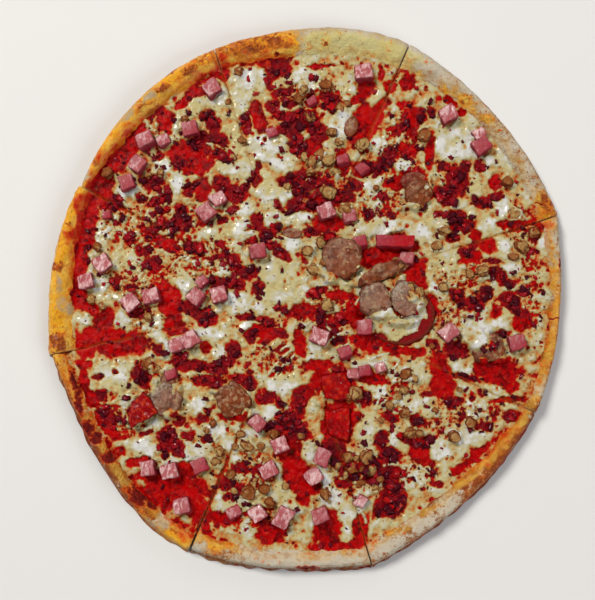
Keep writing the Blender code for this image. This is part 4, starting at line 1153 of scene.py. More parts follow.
def crust_finish(colours):
    """Baked dough: floury cream to golden yellow with yellow painted highlights, orange blotches,
    freckles, brown and char.
    """
    f = Finish("baked_crust", specular_ior_level=0.08, coat_roughness=0.2)
    broad, soft, grain, fine = f.noise(15, 2), f.noise(6.5, 3), f.noise(2.6, 4), f.noise(1.0, 3)
    golden, brown, char, oil = (f.value(v) for v in ("golden", "brown", "char", "oil"))
    edge, stain, side, across = (f.value(v) for v in ("edge", "stain", "side", "across"))
    baked = (golden * 1.35 - 0.35).clip()

    # from floury and pale to golden dough
    warm = golden + soft * 0.5 + grain * 0.25
    colour = f.mix((warm + fine * 0.2).eased(-0.1, 0.6), colours.crust_floury, colours.crust_tan)
    colour = f.mix((warm + oil * 0.15).eased(0.4, 0.9), colour, colours.crust_golden)
    # lighter yellow patches on the golden dough: oily dough with painted highlights
    yellow_highlight = f.noise(5, 3) * 0.9 + grain * 0.5 + 0.05
    colour = f.mix(yellow_highlight.eased(0.0, 0.6) * (baked * 0.85 + 0.05), colour, colours.crust_yellow)
    rind = (across + soft * 0.25 + grain * 0.12 - 0.76).eased(0.0, 0.22)
    colour = f.mix(rind * baked * 0.7, colour, colours.crust_lemon)
    flour = (f.noise(4.5, 4) * 1.1 + grain * 0.5 + 0.15 - baked * 1.2).eased(0.0, 0.7)
    colour = f.mix(flour * 0.8, colour, colours.crust_floury)
    colour = f.mix((f.value("lime") + soft * 0.5 + grain * 0.2 - 0.15).eased(0.1, 0.8) * 0.75,
                   colour, colours.crust_lime)

    # toasted blotches, freckles and spots
    blotch = f.noise(5.5, 3, 0.8) * 1.4 + grain * 0.35 + brown * 0.8 - 0.55
    ripe = (baked * 2.0).clip()
    redder = f.mix(ripe, colours.crust_toast, colours.crust_stain)
    colour = f.mix(blotch.eased(0.0, 0.5) * 0.65, colour, redder)
    freckle = f.noise(3.2, 4, 0.5) * 1.1 + fine * 0.25 + brown * 0.4 - 0.38
    colour = f.mix(freckle.eased(0.0, 0.3) * (0.75 - baked * 0.4), colour, colours.crust_toast)
    colour = f.mix(freckle.eased(0.22, 0.45) * 0.65, colour, colours.crust_brown)
    near, pick = f.cells(2.3, warp=1.6)
    spots = (pick + brown * 0.5 - 0.62).eased(0.1, 0.3) * (1 - near * 1.5).eased(0.0, 0.6)
    stipple = brown * 0.95 - 0.58 + grain * 1.0 + fine * 0.7 + soft * 0.35
    halo = f.mix(ripe * 0.85 + 0.05, colours.crust_toast, colours.crust_amber)
    colour = f.mix((stipple - baked * 0.1).eased(-0.15, 0.4) * 0.75, colour, halo)
    colour = f.mix((stipple + spots * 0.5 - baked * 0.2).eased(0.1, 0.8) * 0.85, colour,
                   colours.crust_brown)

    # what sauce and oil have stained
    soaked = stain * 1.1 + grain * 0.4 + soft * 0.7 - 0.25
    colour = f.mix(soaked.eased(-0.1, 0.4) * (baked * 0.45 + 0.25), colour,
                   f.mix(baked, colours.crust_golden, colours.crust_amber))
    colour = f.mix(soaked.eased(0.3, 0.75) * 0.85, colour, colours.crust_stain)
    colour = f.mix(soaked.eased(0.5, 0.95) * 0.9, colour, colours.sauce)
    colour = f.mix((oil + soft * 0.6 + grain * 0.3 - soaked * 0.6 - 0.3).eased(0.0, 0.7)
                   * (baked * 0.4 + brown * 0.3 + 0.1).clip(), colour, colours.crust_yellow)
    colour = f.mix((oil + f.noise(3.5, 3) * 1.2 - 0.65).eased(0.0, 0.6) * 0.4, colour, halo)

    # the browner edge, the underside, burnt blisters and the cut faces
    band = (edge + grain * 0.5 + fine * 0.3 - 0.15).eased(0.1, 0.7)
    colour = f.mix(band * 0.85, colour, colours.crust_brown)
    under = (side * 1.1 + grain * 0.5 + soft * 0.3 - 0.25).eased(0.0, 1.0)
    colour = f.mix(under * 0.6, colour, colours.crust_brown)
    blister = char * 1.6 + soft * 0.9 + grain * 1.1
    burnt = (char + soft * 0.6 + grain * 0.8 + fine * 0.35 - 0.7).eased(0.0, 0.6)
    colour = f.mix((blister - 0.25).eased(0.0, 0.6) * 0.7, colour, colours.crust_stain)
    colour = f.mix((blister + fine * 0.4 - 0.65).eased(0.0, 0.6) * 0.95, colour,
                   colours.crust_scorched)
    colour = f.mix(burnt * 0.8, colour, colours.crust_char)
    colour = f.mix(f.value("cutface") * 0.4, colour, colours.crust_tan)

    rough_skin = 0.58 + grain * 0.1 - golden * 0.14
    relief = (grain * 0.55 + fine * 0.5 + f.noise(0.45, 2) * 0.3 - burnt * 0.4
              - spots * brown * 0.5 + broad * 0.3 + blotch * 0.25)
    return f.done(colour, rough_skin, relief, 0.7, coat=baked * 0.06)


def cheese_finish(colours):
    """Red sauce under melted cheese: orange where it is thin, then yellow, cream and white."""
    f = Finish("sauce_and_cheese", specular_ior_level=0.05, coat_roughness=0.08)
    field, bacon, sauce = f.value("cheese"), f.value("bacon"), f.value("sauce")
    yellow, rim, cut = f.value("yellow"), f.value("rim"), f.value("cut")
    soft, grain, fine = f.noise(6.5, 3), f.noise(1.9, 3), f.noise(0.7, 2)
    medium = f.noise(3.3, 3, 0.6)
    thick = field + medium * 0.14 + grain * 0.18 + fine * 0.07
    near, pick = f.cells(4.3, warp=2.6)
    specks = pick.eased(0.76, 0.92) * (1 - near * 1.7).eased(0.0, 0.6)
    near_fine, pick_fine = f.cells(1.9, warp=1.6)
    dots = ((pick_fine + f.value("mottled") * 0.2 + bacon * 0.2).eased(0.95, 1.05)
            * (1 - near_fine * 1.6).eased(0.0, 0.6))
    thick = thick - specks * 0.55 - dots * 0.5

    # the sauce between the cheese
    flow = f.noise(8, 3, 1.2)
    wet = f.mix((sauce * 0.15 + flow * 1.6 + medium * 0.8 + grain * 0.25 + 0.26)
                .eased(-0.4, 0.8), colours.sauce_dark, colours.sauce)
    wet = f.mix((bacon * 0.9 + grain * 0.5 + fine * 0.3 - 0.2).eased(0.1, 0.9) * 0.6, wet,
                colours.bacon_dark)
    wet = f.mix((soft * 0.9 + grain * 0.5 - flow * 0.5 - bacon * 0.3 - sauce)
                .eased(0.2, 0.9) * 0.4, wet, colours.sauce_orange)

    # the cheese, from thin and yellow to thick and white, with toasted spots and herb
    melted = f.mix((thick + soft * 0.3 - yellow * 0.35 + medium * 0.2).eased(0.4, 1.0),
                   colours.cheese_yellow, colours.cheese_cream)
    melted = f.mix((thick + soft * 0.35 - yellow * 0.45 + grain * 0.2).eased(0.75, 1.25), melted,
                   colours.cheese_white)
    melted = f.mix((grain * 0.7 - soft * 0.5 + fine * 0.3 + yellow * 0.2 - 0.1)
                   .eased(0.0, 0.6) * 0.45, melted, colours.cheese_olive)
    melted = f.mix((f.noise(2.4, 3) * 1.1 - thick * 0.35 + yellow * 0.15 - 0.02).eased(0.0, 0.5)
                   * 0.55, melted, colours.cheese_amber)
    toasted = (f.noise(4.2, 4) * 0.9 + fine * 0.3 + yellow * 0.12 - 0.42).eased(0.0, 0.35)
    melted = f.mix(toasted * 0.6, melted, colours.cheese_toast)
    near_herb, herb = f.cells(1.9, warp=1.0)
    flecks = herb.eased(0.93, 0.95) * (1 - near_herb * 2.2).eased(0.0, 0.4)
    melted = f.mix(flecks * 0.6, melted, colours.herb)

    # cheese over sauce; where it laps the rim it takes the sauce stain, and where little sauce
    # stains it an olive painted shadow along the rim's foot; painted shade darkens the cuts
    colour = f.mix(thick.eased(-0.08, 0.08) * 0.6, wet, colours.sauce_orange)
    colour = f.mix(thick.eased(-0.03, 0.22), colour, colours.cheese_amber)
    colour = f.mix(thick.eased(0.08, 0.56), colour, melted)
    baked = (rim + grain * 0.35 + soft * 0.25).eased(0.45, 1.1)
    # where little sauce stains the lap, olive stands for painted shadow along the rim's foot
    lapped = f.mix(f.value("stain").eased(0.3, 0.8), colours.cheese_olive, colours.crust_stain)
    colour = f.mix(baked * 0.75, colour, lapped)
    # painted shade along the cut grooves
    groove = (cut + grain * 0.3 - 0.25).eased(0.0, 0.8)
    colour = f.mix(groove * 0.2, colour, colours.cheese_toast)

    gloss = 0.28 + thick.eased(0.0, 0.3) * 0.15 + grain * 0.07
    melt = 1 - thick.eased(0.4, 0.9) * 0.6 - sauce * (1 - bacon).clip() * 0.5
    relief = (thick.eased(-0.1, 0.7) * 0.6 + medium * 0.5
              + (grain * 0.4 + fine * 0.25 + f.noise(0.35, 1) * 0.1) * melt)
    glints = (f.noise(1.6, 2) * 0.9 + medium * 0.4).eased(0.35, 0.6)
    return f.done(colour, gloss, relief, 0.6, coat=thick.eased(0.3, 0.8) * 0.4 + glints * 0.7)


def ham_finish(colours):
    """Cured ham: pink with pale fibres, redder and darker towards the sauce, darker red on its
    sides and lower right as painted shade.
    """
    f = Finish("ham", specular_ior_level=0.08, coat_roughness=0.12)
    # red holds the die's own redness and painted shade towards its lower right
    soak, red = f.value("soak"), f.value("red")
    fibre = f.noise(3.4, 4, 1.5, stretch=(1.0, 0.45, 0.6))
    soft, fine = f.noise(5, 2), f.noise(0.7, 2)
    colour = f.mix((fibre * 1.5 + fine * 0.5 + soft * 0.8 - red * 0.3).eased(-0.4, 0.55),
                   colours.ham, colours.ham_pale)
    wet = soak + soft * 0.35 + fibre * 0.3
    colour = f.mix(wet.eased(0.1, 0.75) * 0.95, colour, colours.ham_red)
    colour = f.mix((red + fibre * 0.35 + soft * 0.4 - 0.25).eased(0.0, 0.9) * 0.85, colour,
                   colours.ham_magenta)
    colour = f.mix((red + fibre * 0.5 - 0.95).eased(0.0, 0.4) * 0.75, colour, colours.sauce)
    # sides that face away from up turn darker red: partly sauce on them, partly painted shade
    up = f.facing()
    colour = f.mix((1 - up + fibre * 0.25 + fine * 0.1).eased(0.08, 0.6) * 0.65, colour,
                   colours.ham_red)
    gloss = 0.33 + fine * 0.12
    return f.done(colour, gloss, fibre * 1.1 + fine * 0.5, 0.5,
                  coat=(soft * 0.8 + fibre * 0.4).eased(0.1, 0.5) * 0.8)


def sausage_finish(colours):
    """Coarse sausage: brown to grey meat with pale fat and dark red grains, and painted light and
    shade.
    """
    f = Finish("sausage", specular_ior_level=0.08, coat_roughness=0.12)
    tone, red, rim = f.value("tone"), f.value("red"), f.value("rim")
    soft, grain, fine = f.noise(5, 3, 0.6), f.noise(1.8, 3), f.noise(0.7, 3)
    near, pick = f.cells(2.4, warp=2.2)
    # tone includes painted light: greyer towards each slice's upper left
    colour = f.mix((tone + soft * 0.8 + grain * 0.4).eased(0.1, 0.9),
                   colours.sausage, colours.sausage_grey)
    colour = f.mix((pick + grain * 0.4).eased(0.72, 0.9) * 0.6, colour, colours.sausage_fat)
    colour = f.mix((soft * 0.8 - grain * 0.3).eased(0.3, 0.7) * 0.6, colour, colours.crumble)
    colour = f.mix((1 - pick + grain * 0.4).eased(0.72, 0.9) * 0.6, colour, colours.sausage_dark)
    colour = f.mix((fine * 0.8 + grain * 0.4).eased(0.45, 0.8) * 0.6, colour, colours.pepperoni)
    # cream patches where the tone is high: partly cheese, partly painted highlights of a wet
    # surface
    colour = f.mix(((tone - 0.55) * 2 + grain * 1.1 + fine * 0.5 - 0.9).eased(0.0, 0.6) * 0.6,
                   colour, colours.cheese_cream)
    colour = f.mix((red + soft * 0.3 + grain * 0.3).eased(0.35, 0.9), colour, colours.pepperoni)
    colour = f.mix((rim + grain * 0.4 + soft * 0.2).eased(0.2, 0.9) * 0.75, colour,
                   colours.sausage_dark)
    # painted shade: darker on the sides that face away from up
    up = f.facing()
    colour = f.mix((1 - up).eased(0.2, 0.8) * 0.7, colour, colours.sausage_dark)
    glints = (f.noise(1.5, 1) * 1.1 + fine * 0.3).eased(0.25, 0.5) * (0.4 + tone * 0.5)
    return f.done(colour, 0.42 + grain * 0.12, grain * 0.8 + fine * 0.6 + soft * 0.5 - near * 0.3,
                  0.7, coat=glints)


def crumble_finish(colours):
    """Browned crumbles: olive tan on top, orange-brown round the sides, darker there as painted
    shade.
    """
    f = Finish("sausage_crumble", specular_ior_level=0.08, coat_roughness=0.1)
    tone = f.value("tone")
    soft, grain, fine = f.noise(3, 3), f.noise(1.1, 3), f.noise(0.5, 2)
    colour = f.mix((tone + soft * 0.8 + grain * 0.6).eased(0.2, 1.1),
                   colours.crumble_brown, colours.crumble)
    colour = f.mix((soft * 0.9 - grain * 0.4 + tone * 0.4 - 0.1).eased(0.1, 0.6) * 0.7, colour,
                   colours.cheese_olive)
    # sides that face away from up go dark red-brown: browning with painted shade
    up = f.facing()
    colour = f.mix(((1 - up) + grain * 0.3 + soft * 0.25).eased(0.08, 0.42) * 0.92, colour,
                   colours.crumble_brown_side_and_shade)
    colour = f.mix((grain * 0.7 + fine * 0.5).eased(0.35, 0.8) * 0.35, colour, colours.sausage_fat)
    glints = (f.noise(1.4, 1) * 1.2 + fine * 0.3).eased(0.2, 0.5)
    return f.done(colour, 0.4 + grain * 0.12, grain * 0.7 + fine * 0.5, 0.5, coat=glints * 0.7)


def pepper_finish(colours):
    """Wet red pepper skin, darker on its sloping sides as painted shade."""
    f = Finish("red_pepper", specular_ior_level=0.06, coat_roughness=0.06)
    soft, grain, fine = f.noise(6, 3), f.noise(1.6, 3), f.noise(0.7, 2)
    speckle = f.value("red")
    colour = f.mix((soft * 0.9 + grain * 0.5).eased(-0.3, 0.6), colours.pepper_dark, colours.pepper)
    colour = f.mix((f.noise(4, 3) * 1.2 + fine * 0.3).eased(0.1, 0.5) * (1 - speckle) * 0.6, colour,
                   colours.sauce_orange)
    near, pick = f.cells(1.7, warp=1.4)
    colour = f.mix(speckle * (0.6 + soft * 0.4).clip(), colour, colours.pepperoni)
    colour = f.mix((pick + grain * 0.4).eased(0.72, 0.9) * speckle * 0.7, colour,
                   colours.sauce_orange)
    colour = f.mix((1 - pick + fine * 0.4).eased(0.85, 1.0) * (1 - near).clip() * speckle * 0.6,
                   colour, colours.ham_pale)
    # painted shade: darker where the surface faces away from up
    colour = f.mix((1 - f.facing() + grain * 0.2).eased(0.15, 0.6) * 0.7, colour,
                   colours.pepper_dark)
    glints = (f.noise(1.7, 1) * 1.1 + soft * 0.5).eased(0.2, 0.5)
    return f.done(colour, 0.26 + grain * 0.1, soft * 0.7 + grain * 0.5 + fine * 0.25, 0.5,
                  coat=glints * 0.9)


def bacon_finish(colours):
    """Crisp bacon: maroon to red lean, some pink fat and painted sheen, wet with fat."""
    f = Finish("bacon", specular_ior_level=0.06, coat_roughness=0.08)
    tone = f.value("tone")
    broad, grain, fine = f.noise(11, 2), f.noise(1.4, 3), f.noise(0.6, 2)
    hue = tone * 1.3 + broad * 0.6 + grain * 0.6 - 0.32
    colour = f.mix(hue.eased(-0.1, 0.7), colours.bacon_dark, colours.bacon)
    colour = f.mix((hue + fine * 0.2).eased(0.6, 1.0) * 0.85, colour, colours.sauce)
    colour = f.mix((hue + fine * 0.2).eased(1.0, 1.3) * 0.8, colour, colours.sauce_orange)
    # pink patches: bacon fat, and painted sheen highlights
    colour = f.mix((f.noise(2.6, 2) * 1.1 + fine * 0.4 + tone * 0.3 - 0.3).eased(0.1, 0.5) * 0.7,
                   colour, colours.bacon_fat_and_sheen)
    glints = (f.noise(1.3, 1) * 1.2 + fine * 0.3).eased(0.2, 0.45)
    return f.done(colour, 0.34 + fine * 0.14, grain * 0.9 + fine * 0.6, 0.5, coat=glints * 0.9)


def speck_finish(colours):
    """Dried herb."""
    f = Finish("herb", specular_ior_level=0.1)
    tone, fine = f.value("tone"), f.noise(0.4, 2)
    colour = f.mix((tone + fine * 0.3).eased(0.2, 0.9), colours.herb, colours.cheese_toast)
    return f.done(colour, 0.7 + fine * 0.1, fine, 0.2)


# ---------------------------------------------------------------------------------------------
# Properties
# ---------------------------------------------------------------------------------------------

def tint(name, description, value):
    """A colour that a user can change."""
    return FloatVectorProperty(name=name, description=description, subtype="COLOR", size=3,
                               min=0, max=1, default=value)


class PizzaSizes(bpy.types.PropertyGroup):
    rim_height: FloatProperty(
        name="Rim height", description="Height of the crust's raised rim above the floor",
        default=0.0126, min=0.008, max=0.02, unit="LENGTH")
    sauce_level: FloatProperty(
        name="Sauce level", description="Height of the sauce above the floor",
        default=0.0066, min=0.005, max=0.009, unit="LENGTH")
    cheese_thickness: FloatProperty(
        name="Cheese thickness", description="Thickness of the melted cheese on the sauce",
        default=0.0014, min=0.0005, max=0.004, unit="LENGTH")
    detail: FloatProperty(
        name="Mesh detail", description="Spacing of the corners of the sauce and cheese",
        default=0.00055, min=0.0004, max=0.003, unit="LENGTH")
    crust_steps: IntProperty(
        name="Crust steps", description="Steps along the rim of one slice",
        default=230, min=40, max=400)
    bacon_bits: IntProperty(
        name="Bacon bits", description="How many bits of bacon are strewn over the pizza",
        default=1500, min=0, max=3000)
    bacon_crumbs: IntProperty(
        name="Bacon crumbs", description="How many fine crumbs of bacon are strewn",
        default=1800, min=0, max=5000)
    herb_flecks: IntProperty(
        name="Herb flecks", description="How many flecks of dried herb are strewn",
        default=420, min=0, max=2000)


class PizzaColours(bpy.types.PropertyGroup):
    crust_floury: tint("Floury crust", "Palest dough", (0.46, 0.40, 0.305))
    crust_tan: tint("Tan crust", "Lightly baked dough", (0.375, 0.245, 0.115))
    crust_toast: tint("Toasted crust", "Freckles of the pale dough", (0.28, 0.115, 0.028))
    crust_scorched: tint("Scorched crust", "Dark red-brown blisters", (0.165, 0.0025, 0.002))
    crust_golden: tint("Golden crust", "Oily, well baked dough", (0.66, 0.30, 0.012))
    crust_yellow: tint("Yellow crust", "Oily crowns of the crust", (0.68, 0.41, 0.060))
    crust_lemon: tint("Lemon crust", "Outer rind of the golden crust", (0.62, 0.47, 0.20))
    crust_lime: tint("Oily crust", "Dough soaked with oil from the cheese", (0.52, 0.45, 0.15))
    crust_amber: tint("Amber crust", "Halo of the brown spots", (0.50, 0.13, 0.010))
    crust_brown: tint("Brown crust", "Brown spots", (0.19, 0.030, 0.006))
    crust_char: tint("Charred crust", "Burnt blisters", (0.05, 0.003, 0.003))
    crust_stain: tint("Stained crust", "Where sauce has soaked in", (0.58, 0.070, 0.004))
    sauce: tint("Sauce", "Bright wet tomato sauce", (0.35, 0.0005, 0.001))
    sauce_dark: tint("Dark sauce", "Sauce that has baked in", (0.09, 0.0005, 0.001))
    sauce_orange: tint("Oily sauce", "Sauce that shows through fat", (0.42, 0.032, 0.004))
    cheese_white: tint("White cheese", "Thickest melted cheese", (0.535, 0.525, 0.50))
    cheese_cream: tint("Cream cheese", "Thick melted cheese", (0.425, 0.40, 0.305))
    cheese_yellow: tint("Yellow cheese", "Thin oily cheese", (0.42, 0.355, 0.16))
    cheese_amber: tint("Amber cheese", "Cheese thin on sauce", (0.42, 0.165, 0.035))
    cheese_olive: tint("Olive cheese", "Shaded thin cheese", (0.36, 0.28, 0.10))
    cheese_toast: tint("Toasted cheese", "Browned cheese", (0.30, 0.10, 0.012))
    herb: tint("Herb", "Dried herb", (0.07, 0.05, 0.015))
    ham: tint("Ham", "Cut face of the ham", (0.33, 0.075, 0.080))
    ham_pale: tint("Pale ham", "Fibres of the ham", (0.62, 0.40, 0.39))
    ham_red: tint("Soaked ham", "Ham towards the sauce", (0.24, 0.018, 0.028))
    ham_magenta: tint("Wet ham", "Dark wet ham", (0.26, 0.010, 0.026))
    sausage: tint("Sausage", "Brown sausage meat", (0.20, 0.045, 0.012))
    sausage_grey: tint("Grey sausage", "Grey sausage meat", (0.25, 0.125, 0.082))
    sausage_fat: tint("Sausage fat", "Fat in the sausage", (0.36, 0.23, 0.12))
    sausage_dark: tint("Dark sausage", "Browned meat", (0.10, 0.014, 0.005))
    crumble: tint("Crumble", "Top of a crumble", (0.36, 0.20, 0.065))
    crumble_brown: tint("Brown crumble", "Browned crumble", (0.22, 0.06, 0.012))
    crumble_brown_side_and_shade: tint("Crumble side", "Side of a crumble", (0.115, 0.015, 0.004))
    pepper: tint("Pepper", "Red pepper", (0.45, 0.0015, 0.001))
    pepper_dark: tint("Dark pepper", "Shaded red pepper", (0.17, 0.001, 0.002))
    pepperoni: tint("Pepperoni", "Pepperoni", (0.19, 0.002, 0.003))
    bacon: tint("Bacon", "Lean bacon", (0.26, 0.003, 0.008))
    bacon_dark: tint("Dark bacon", "Crisp bacon", (0.055, 0.0015, 0.006))
    bacon_fat_and_sheen: tint("Pink bacon", "Fat of the bacon", (0.44, 0.11, 0.105))
    floor: tint("Floor", "The plain floor", (0.60, 0.59, 0.575))


# ---------------------------------------------------------------------------------------------
# Operators
# ---------------------------------------------------------------------------------------------

class PIZZA_OT_crust(bpy.types.Operator):
    """Bakes the crust of each slice"""
    bl_idname = "pizza.crust"
    bl_label = "Crust"

    def execute(self, context):
        finish = crust_finish(context.scene.pizza_colours)
        for wedge in WEDGES:
            number = wedge.number + 1
            piece = bake_crust(wedge, context.scene.pizza_sizes)
            brown_crust(piece)
            finish_piece(piece, f"baked_crust_{number}", "crust", finish, f"crust_{number}")
        return {"FINISHED"}


class PIZZA_OT_toppings(bpy.types.Operator):
    """Spreads sauce and melted cheese over each slice"""
    bl_idname = "pizza.toppings"
    bl_label = "Sauce and cheese"

    def execute(self, context):
        finish = cheese_finish(context.scene.pizza_colours)
        for wedge in WEDGES:
            number = wedge.number + 1
            piece = spread_toppings(wedge, context.scene.pizza_sizes)
            finish_piece(piece, f"sauce_and_cheese_{number}", "sauce_and_cheese", finish,
                         f"topping_{number}")
        return {"FINISHED"}


def cure_ham(piece, red, seed):
    """Give a die its bumps, and colour it by how deep each corner lies, with painted shade: redder
    towards its lower right.
    """
    ruffle(piece, HAM_FACES, seed)
    x, y, z = read(piece)
    # painted shade: the die's lower right, away from the key light, is stored as more redness
    shade = (x - x.mean() - y + y.mean()) / (np.ptp(x) + np.ptp(y))
    paint(piece, soak=1 - ease(z - z.max(), -5.5, -0.8), red=red + 0.9 * shade)


class PIZZA_OT_ham(bpy.types.Operator):
    """Dices the ham and presses it into the cheese"""
    bl_idname = "pizza.ham"
    bl_label = "Ham"

    def execute(self, context):
        sizes = context.scene.pizza_sizes
        finish = ham_finish(context.scene.pizza_colours)
        draw = random.Random(5)
        nodes = sorted(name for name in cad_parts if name.startswith("ham_die"))
        for node in nodes:
            piece = sunk_copy(node, HAM_SUNK, HAM_ROUNDS)
            cure_ham(piece, RED_HAM.get(int(node[-2:]), draw.uniform(0, 0.45)), 90)
            finish_piece(piece, node.replace("die", "cube"), "ham", finish, node)
        made = []
        for x, y, turn, size, red in MORE_HAM:
            clear_selection()
            bpy.ops.mesh.primitive_cube_add(size=MM)
            piece = bpy.context.object
            lean = [math.radians(v) for v in (draw.uniform(-22, -4), draw.uniform(-12, 8), turn)]
            level = float(toppings(np.array([float(x)]), np.array([float(y)]), sizes)["height"][0])
            middle = min(level, HAM_LEVEL) + HAM_RISE - size / 2 * 0.3
            piece.data.transform(pose((x, y, middle), lean, [size * side for side in DIE_SHAPE]))
            piece.data.update()
            remeshed(piece, HAM_ROUNDS)
            cure_ham(piece, red, 95)
            made.append(piece)
        finish_piece(join(made), "more_ham_cubes", "ham", finish)
        return {"FINISHED"}


class PIZZA_OT_sausage(bpy.types.Operator):
    """Lays the sausage slices, and the deeper ones between them"""
    bl_idname = "pizza.sausage"
    bl_label = "Sausage slices"

    def execute(self, context):
        sizes = context.scene.pizza_sizes
        finish = sausage_finish(context.scene.pizza_colours)
        widened, (mx, my), (wider, longer) = WIDENED
        for number, (tone, red) in enumerate(SLICE_LOOKS, 1):
            node = f"sausage_slice_{number}"
            piece = sunk_copy(node, FLAT_SUNK, SLICE_ROUNDS)
            torn = 1 if number <= TORN_LESS else 1.6
            ruffle(piece, ((9, 1.6 * torn), (4.5, 0.9 * torn), (1.8, 0.4), (1.0, 0.16)),
                   100 + 5 * number)
            if number == widened:
                x, y, z = read(piece)
                write(piece, mx + wider * (x - mx), my + longer * (y - my), z)
            self.colour(piece, tone, red)
            finish_piece(piece, f"cooked_slice_{number}", "sausage", finish, node)
        made = []
        for x, y, long, wide, turn, red in DEEP_SLICES:
            clear_selection()
            bpy.ops.mesh.primitive_cylinder_add(vertices=40, radius=MM, depth=2.0 * MM)
            piece = bpy.context.object
            level = sizes.sauce_level / MM + (0.55 if red > 0.9 else 1.3)
            lean = [math.radians(v) for v in (2, -3, turn)]
            piece.data.transform(pose((x, y, level), lean, (long, wide, 1)))
            remeshed(piece, SLICE_ROUNDS, 0.7)
            ruffle(piece, ((7, 0.4), (3, 0.3), (1.5, 0.2)), 150)
            self.colour(piece, 0.5, red)
            made.append(piece)
        finish_piece(join(made), "deep_slices", "sausage", finish)
        return {"FINISHED"}

    @staticmethod
    def colour(piece, tone, red):
        """Store a slice's tone, redness and darker rim for its finish; painted light raises the
        tone towards the upper left, greyer and paler there.
        """
        x, y, _ = read(piece)
        mx, my = (x.min() + x.max()) / 2, (y.min() + y.max()) / 2
        reach = np.hypot((x - mx) / np.ptp(x), (y - my) / np.ptp(y)) * 2
        # painted light: each slice greyer and paler towards its upper left
        lit = (mx - x) / np.ptp(x) + (y - my) / np.ptp(y)
        paint(piece, tone=np.clip(tone + 0.5 * lit, -0.3, 1.3), red=red,
              rim=ease(reach, 0.82, 1.0))


class PIZZA_OT_pepper(bpy.types.Operator):
    """Lays the red pepper pieces and the pepperoni wedge"""
    bl_idname = "pizza.pepper"
    bl_label = "Pepper and pepperoni"

    def execute(self, context):
        finish = pepper_finish(context.scene.pizza_colours)
        for seed, (node, (outline, red)) in enumerate(RED_PIECES.items(), 170):
            piece = sunk_copy(node, FLAT_SUNK, PEPPER_ROUNDS)
            reshape(piece, outline)
            ruffle(piece, ((9, 0.7), (4, 0.5), (1.6, 0.2)), seed)
            slot = "pepperoni" if red else "red_pepper"
            paint(piece, red=red)
            finish_piece(piece, f"wet_{node}", slot, finish, node)
        return {"FINISHED"}


class PIZZA_OT_crumbles(bpy.types.Operator):
    """Drops the crumbles of sausage meat into the cheese"""
    bl_idname = "pizza.crumbles"
    bl_label = "Sausage crumbles"

    def execute(self, context):
        draw = random.Random(8)
        shapes = [lump(200 + 3 * k, 4, 0.28) for k in range(7)]
        x, y = (np.array([float(row[k]) for row in CRUMBLES]) for k in range(2))
        level = toppings(x, y, context.scene.pizza_sizes)["height"]
        rows = []
        for (px, py, size), z in zip(CRUMBLES, level):
            wide = size * draw.uniform(0.75, 1.0)
            turns = (draw.uniform(-0.4, 0.4), draw.uniform(-0.4, 0.4), draw.uniform(0, FULL_TURN))
            rows.append((px, py, min(z, 15.0) - 0.08 * size, *turns, size, wide, 0.66 * size))
        tones = [draw.uniform(0.15, 1.0) for _ in rows]
        piece = copies(shapes, rows, tones)
        finish_piece(piece, "sausage_crumbles", "sausage",
                     crumble_finish(context.scene.pizza_colours))
        return {"FINISHED"}


def strewn(count, density, draw, tries=4000, reach=168):
    """Random places inside the rim, denser where density is high."""
    found = []
    while len(found) < count:
        angle = draw.uniform(0, 2 * np.pi, tries)
        away = reach * np.sqrt(draw.uniform(0, 1, tries))
        x, y = HUB[0] + away * np.cos(angle), HUB[1] + away * np.sin(angle)
        _, away, _, (foot, _, _) = locate(x, y)
        keep = (away < foot - 0.5) & (draw.uniform(0, 1, tries) < density(x, y))
        found.extend(zip(x[keep], y[keep]))
    return np.array(found[:count]).T


def heaped(x, y, in_heaps, mottled, alone):
    """How thickly bacon lies: in its heaps, where the cheese is mottled, and anywhere."""
    (heap_share, heap_soft), (mottled_share, mottled_soft) = in_heaps, mottled
    return np.clip(heap_share * cover(x, y, BACON, heap_soft)
                   + mottled_share * cover(x, y, MOTTLED, mottled_soft) + alone, 0, 1)


def any_turn(draw, tip, roll, shape):
    """Random turns about x and y up to these angles either way, and any turn about z."""
    return [draw.uniform(-tip, tip, shape), draw.uniform(-roll, roll, shape),
            draw.uniform(0, FULL_TURN, shape)]


class PIZZA_OT_bacon(bpy.types.Operator):
    """Strews the bacon bits, heaped where the slices carry more of them"""
    bl_idname = "pizza.bacon"
    bl_label = "Bacon bits"

    def execute(self, context):
        sizes = context.scene.pizza_sizes
        draw = np.random.RandomState(31)
        x, y = strewn(sizes.bacon_bits,
                      lambda x, y: heaped(x, y, (0.95, 0.3), (0.26, 0.4), 0.09), draw)
        found = toppings(x, y, sizes)
        heap = found["bacon"]
        lone = cover(x, y, BACON, 0.3) < 0.3
        size = (1.6 + 3.6 * draw.uniform(0, 1, x.shape) ** 1.6) * np.where(lone, 0.8, 1.0)
        lift = np.where(lone, 0.02, 0.06) * size + heap * draw.uniform(0, 0.7, x.shape)
        z = np.minimum(found["height"], 13) + lift
        wide = size * draw.uniform(0.4, 0.85, x.shape)
        tall = size * draw.uniform(0.25, 0.5, x.shape)
        rows = np.stack([x, y, z, *any_turn(draw, 0.6, 0.5, x.shape), size, wide, tall], 1)
        piece = copies([chip(300 + k) for k in range(12)], rows.tolist(),
                       (draw.uniform(0, 1, x.shape) ** 1.3).tolist())
        finish_piece(piece, "bacon_bits", "ham", bacon_finish(context.scene.pizza_colours))
        return {"FINISHED"}


